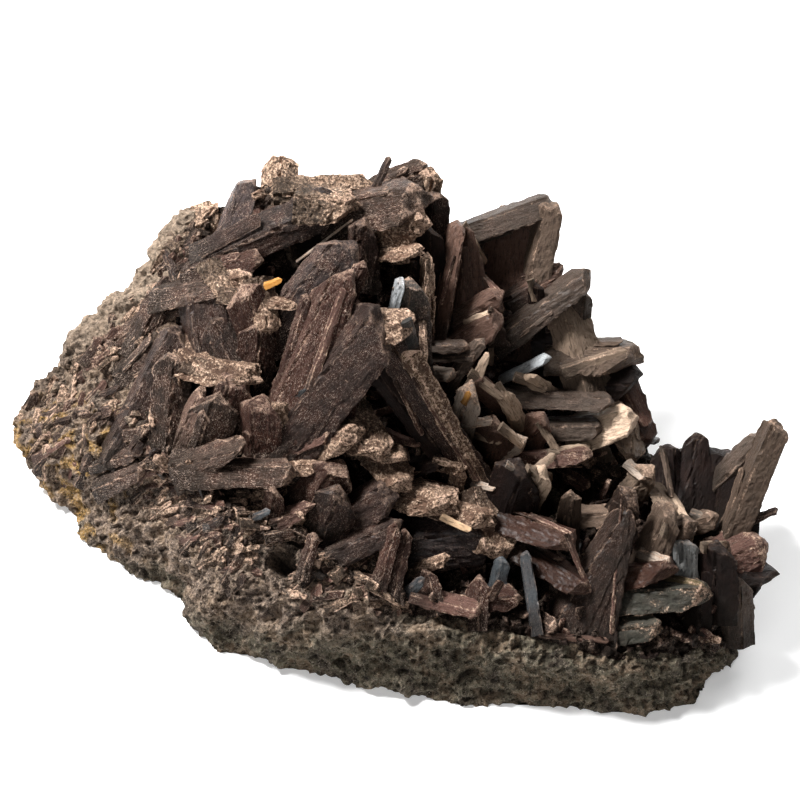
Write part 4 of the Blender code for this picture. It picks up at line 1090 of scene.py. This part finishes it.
def rock_material(settings):
    """Grainy grey-brown rock: sandy grains, olive and ochre patches, paler towards the upper left, and
    painted shade in its pits and holes.
    """
    shader = Shader("grainy_rock")
    place = shader.attribute("place", "Vector")
    low = shader.attribute("low")
    haze = shader.attribute("haze")
    patch = shader.noise(place, 0.22, 4.0, 0.7)
    grain = shader.noise(place, 1.3, 5.0, 0.8)
    sand = shader.noise(place, 4.0, 2.0, 0.7)
    colour = shader.coats(settings.rock_colour, [
        (low * 0.9, ROCK_COLOURS["olive"]),
        (shader.fade(patch, 0.50, 0.62) * 0.8, ROCK_COLOURS["tan patch"]),
        (shader.fade(patch, 0.48, 0.38) * 0.7, ROCK_COLOURS["brown patch"]),
        # paler towards the upper left
        (haze * 0.8, ROCK_COLOURS["dust"]),
        (shader.attribute("rust") * shader.fade(sand, 0.36, 0.52) * 0.9, ROCK_COLOURS["rust"]),
        (shader.fade(grain, 0.52, 0.64) * (0.7 - low * 0.45), ROCK_COLOURS["pale grain"]),
        (shader.fade(grain, 0.49, 0.40) * (0.9 - haze * 0.25), ROCK_COLOURS["dark grain"]),
        (shader.fade(sand, 0.58, 0.66) * (0.5 - haze * 0.25), ROCK_COLOURS["sand"]),
        # painted shade in pits and holes
        (shader.attribute("pit_shade") * 0.75, ROCK_COLOURS["pit_shade"]),
    ])
    return shader.finish(
        Base_Color=colour,
        Roughness=0.9,
        Specular_IOR_Level=0.15,
        Normal=shader.bump(grain * 0.6 + sand * 0.4, 1.0, 0.0012),
    )


def crystal_material(name, specular):
    """Axinite: dark striated faces under pale dust, with tan granular crust where it is worn; painted shade
    at the feet and between the crust's grains, and painted highlight on raised grains and along the pale
    edges.
    """
    shader = Shader(name)
    place = shader.attribute("place", "Vector")
    worn = shader.attribute("worn")
    crust = shader.attribute("crust")
    gloss = shader.attribute("gloss")
    dusty = shader.attribute("dust")
    lines = shader.noise(shader.stretch(place, (1.0, 1.0, 0.16)), 3.6, 4.0, 0.75)
    patch = shader.noise(place, 0.35, 3.0, 0.65)
    grain = shader.noise(place, 2.4, 4.0, 0.8)
    dust = shader.noise(shader.stretch(place, (1.0, 1.0, 0.35)), 8.5, 2.0, 0.8)
    crumb = crust * 0.85 + worn * 0.4 + (patch - 0.5) * 1.5 + (grain - 0.5) * 1.5
    crumb = shader.fade(crumb, 0.48, 0.78)
    # Tan crust, with painted shade between its grains and painted highlight on the raised ones
    tan = shader.mix(shader.fade(grain, 0.43, 0.55), CRYSTAL_COLOURS["crust gap shade"], CRYSTAL_COLOURS["crust"])
    crust_highlight = shader.fade(grain, 0.55, 0.66) * shader.attribute("raised")
    tan = shader.mix(crust_highlight, tan, CRYSTAL_COLOURS["crust top highlight"])
    # Pale rims on the edges: partly wear, partly painted highlight
    rim = shader.fade(worn + (grain - 0.5) * 1.8 + (patch - 0.5) * 1.2, 0.70, 1.10)
    speck = shader.fade(dust, 0.57, 0.64) * (0.15 + shader.fade(patch, 0.38, 0.60) * 0.85)
    colour = shader.coats(shader.attribute("tint", "Color"), [
        (shader.fade(patch, 0.42, 0.66) * (0.1 + dusty * 0.4), CRYSTAL_COLOURS["red patch"]),
        (shader.fade(lines, 0.55, 0.68) * (0.04 + dusty * 0.26), CRYSTAL_COLOURS["pale line"]),
        (shader.fade(lines, 0.49, 0.38) * 0.6, CRYSTAL_COLOURS["dark line"]),
        (crumb * shader.fade(crust, -0.07, 0.27) * (1.0 - gloss * 0.7), tan),
        # painted shade at the feet
        (shader.attribute("foot") * 0.7, CRYSTAL_COLOURS["foot"]),
        (rim * (0.04 + crust * 0.8 + dusty * 0.20), CRYSTAL_COLOURS["rim"]),
        (speck * dusty * 0.75, CRYSTAL_COLOURS["dust"]),
    ])
    return shader.finish(
        Base_Color=colour,
        Roughness=0.55 - gloss * 0.30 + crumb * 0.30 + (grain - 0.5) * 0.6,
        Specular_IOR_Level=specular,
        Specular_Tint=CRYSTAL_COLOURS["sheen"],
        Coat_Weight=gloss * 0.20 - crumb * 0.25 - dusty * 0.08,
        Coat_Roughness=0.32,
        Normal=shader.bump(lines * 0.45 + grain * 0.55, 0.9, 0.0005),
    )


def floor_material():
    """Plain pale floor."""
    shader = Shader("pale_floor")
    return shader.finish(
        Base_Color=FLOOR_COLOUR, Roughness=0.9, Emission_Color=WHITE, Emission_Strength=FLOOR_GLOW)


def length_property(name, description, default, least):
    """A length's property, from millimetres."""
    return FloatProperty(
        name=name, description=description, default=default * MM, min=least * MM, unit="LENGTH", precision=5)


class AxiniteSettings(bpy.types.PropertyGroup):
    """Sizes and colours of the specimen"""
    rock_cell: length_property("Rock cell", "Size of the rock's mesh cells", 0.52, 0.3)
    grain_size: length_property("Grain size", "Size of the rock's larger grains", 1.5, 0.3)
    grain_rise: length_property("Grain rise", "How far grains stand out of the rock", 0.55, 0.0)
    pit_depth: length_property("Pit depth", "Depth of the rock's pits", 0.7, 0.0)
    bed_rise: length_property("Bed rise", "Thickness of the massive crystal bed", 2.2, 0.0)
    blade_cell: length_property("Blade cell", "Size of the blades' mesh cells", 0.39, 0.2)
    wear: FloatProperty(
        name="Wear", description="How chipped and splintered the blades are", default=1.0, min=0.0, max=2.0)
    flakes: FloatProperty(
        name="Flakes", description="Share of the flakes that lie flat on the rock", default=1.0, min=0.0,
        max=1.0)
    fillers: IntProperty(
        name="Fillers", description="Small crystals tried between the blades", default=420, min=0)
    rock_colour: FloatVectorProperty(
        name="Rock colour", description="Main colour of the rock", default=(0.165, 0.120, 0.092), size=3,
        subtype="COLOR", min=0.0, max=1.0)
    lamp_power: FloatProperty(
        name="Lamp power", description="Power of the main studio lamp", default=5.1, min=0.0, unit="POWER")


class AXINITE_OT_rock(bpy.types.Operator):
    """Add the lump of grainy rock and the bed of massive crystal on it"""
    bl_idname = "axinite.rock"
    bl_label = "Rock and Bed"

    def execute(self, context):
        settings = context.scene.axinite
        points, normals, faces, attributes = rock_shape(settings)
        add_mesh("rock", points, faces, "matrix", rock_material(settings), attributes)
        points, faces, attributes = bed_shape(points, normals, faces, settings)
        material = crystal_material("bed_crystal", BED_SPECULAR)
        add_mesh("bed", points, faces, "crystal_cluster", material, attributes)
        return {"FINISHED"}


class AXINITE_OT_blades(bpy.types.Operator):
    """Add the named blades, one piece for each part of the cluster"""
    bl_idname = "axinite.blades"
    bl_label = "Blades"

    def execute(self, context):
        settings = context.scene.axinite
        material = crystal_material("axinite_blade", CRYSTAL_SPECULAR)
        seed = 1.0
        for group, rows in BLADES.items():
            meshes = []
            for blade in [Blade(*row) for row in rows]:
                for crystal in [blade, *companions(blade, seed)]:
                    meshes.append(blade_mesh(crystal, settings.blade_cell / MM, settings.wear, seed))
                    seed += 1.0
            points, faces, attributes = join_meshes(meshes)
            add_mesh(f"blades_{group}", points, faces, "crystal_cluster", material, attributes)
        return {"FINISHED"}


class AXINITE_OT_small_crystals(bpy.types.Operator):
    """Add the blades' lit edges, the flakes on the rock and the small crystals between the blades"""
    bl_idname = "axinite.small_crystals"
    bl_label = "Small Crystals"

    def execute(self, context):
        settings = context.scene.axinite
        ground = ground_tree(["rock", "bed"])
        standing = ground_tree(["rock", "bed", *(f"blades_{group}" for group in BLADES)])
        rng = random.Random(SCATTER_SEED)
        blades = lit_edges(standing)
        blades += flat_flakes(ground, rng, settings.flakes)
        blades += filler_crystals(ground, rng, settings.fillers)
        cell = settings.blade_cell / MM * SMALL_CELL_SHARE
        meshes = []
        for number, blade in enumerate(blades):
            meshes.append(blade_mesh(blade, cell, settings.wear, SMALL_SEED + number))
        points, faces, attributes = join_meshes(meshes)
        material = crystal_material("small_axinite", CRYSTAL_SPECULAR)
        add_mesh("small_crystals", points, faces, "crystal_cluster", material, attributes)
        return {"FINISHED"}


class AXINITE_OT_stage(bpy.types.Operator):
    """Add the floor, the studio lamps and the camera"""
    bl_idname = "axinite.stage"
    bl_label = "Stage"

    def execute(self, context):
        power = context.scene.axinite.lamp_power
        floor = add_floor()
        lamps = [add_lamp(name, place, size, power * share) for name, place, size, share in LAMPS]
        light_world(context.scene, WORLD_LIGHT)
        add_camera(context.scene)
        context.scene.view_settings.view_transform = "Standard"
        return {"FINISHED"}


def add_floor():
    """A plain pale floor under the specimen."""
    mesh = bpy.data.meshes.new("floor")
    corners = [(x * FLOOR_REACH, y * FLOOR_REACH, 0) for x, y in [(-1, -1), (1, -1), (1, 1), (-1, 1)]]
    mesh.from_pydata(corners, [], [(0, 1, 2, 3)])
    mesh.materials.append(floor_material())
    floor = bpy.data.objects.new("floor", mesh)
    floor.location.z = -FLOOR_GAP
    bpy.context.scene.collection.objects.link(floor)
    return floor


def add_lamp(name, place, size, power):
    """A soft square lamp that looks at the specimen."""
    data = bpy.data.lights.new(name, "AREA")
    data.size = size * MM
    data.energy = power
    lamp = bpy.data.objects.new(name, data)
    lamp.location = Vector(place) * MM
    lamp.rotation_euler = (FACE_CENTRE * MM - lamp.location).to_track_quat("-Z", "Y").to_euler()
    bpy.context.scene.collection.objects.link(lamp)
    return lamp


def light_world(scene, strength):
    """Even white light from all round."""
    world = bpy.data.worlds.new("studio")
    world.use_nodes = True
    background = world.node_tree.nodes["Background"]
    background.inputs["Color"].default_value = (*WHITE, 1.0)
    background.inputs["Strength"].default_value = strength
    scene.world = world


def add_camera(scene):
    """The camera at the photograph's viewing angle, square on to the face."""
    data = bpy.data.cameras.new("camera")
    data.sensor_width = SENSOR_WIDTH
    data.lens = data.sensor_width * EYE_DISTANCE / VIEW_WIDTH
    camera = bpy.data.objects.new("camera", data)
    camera.location = EYE * MM
    camera.rotation_euler = (-OUT).to_track_quat("-Z", "Y").to_euler()
    scene.collection.objects.link(camera)
    scene.camera = camera


class AXINITE_PT_panel(bpy.types.Panel):
    """The specimen's settings and pieces"""
    bl_label = "Axinite"
    bl_idname = "AXINITE_PT_panel"
    bl_space_type = "VIEW_3D"
    bl_region_type = "UI"
    bl_category = "Axinite"

    def draw(self, context):
        column = self.layout.column()
        for title in AxiniteSettings.__annotations__:
            column.prop(context.scene.axinite, title)
        for operator in OPERATORS:
            column.operator(operator.bl_idname)


OPERATORS = (AXINITE_OT_rock, AXINITE_OT_blades, AXINITE_OT_small_crystals, AXINITE_OT_stage)
CLASSES = (AxiniteSettings, *OPERATORS, AXINITE_PT_panel)


def register():
    for item in CLASSES:
        bpy.utils.register_class(item)
    bpy.types.Scene.axinite = PointerProperty(type=AxiniteSettings)


def unregister():
    del bpy.types.Scene.axinite
    for item in reversed(CLASSES):
        bpy.utils.unregister_class(item)


def main():
    register()
    bpy.ops.axinite.rock()
    bpy.ops.axinite.blades()
    bpy.ops.axinite.small_crystals()
    bpy.ops.axinite.stage()


if __name__ == "__main__":
    main()
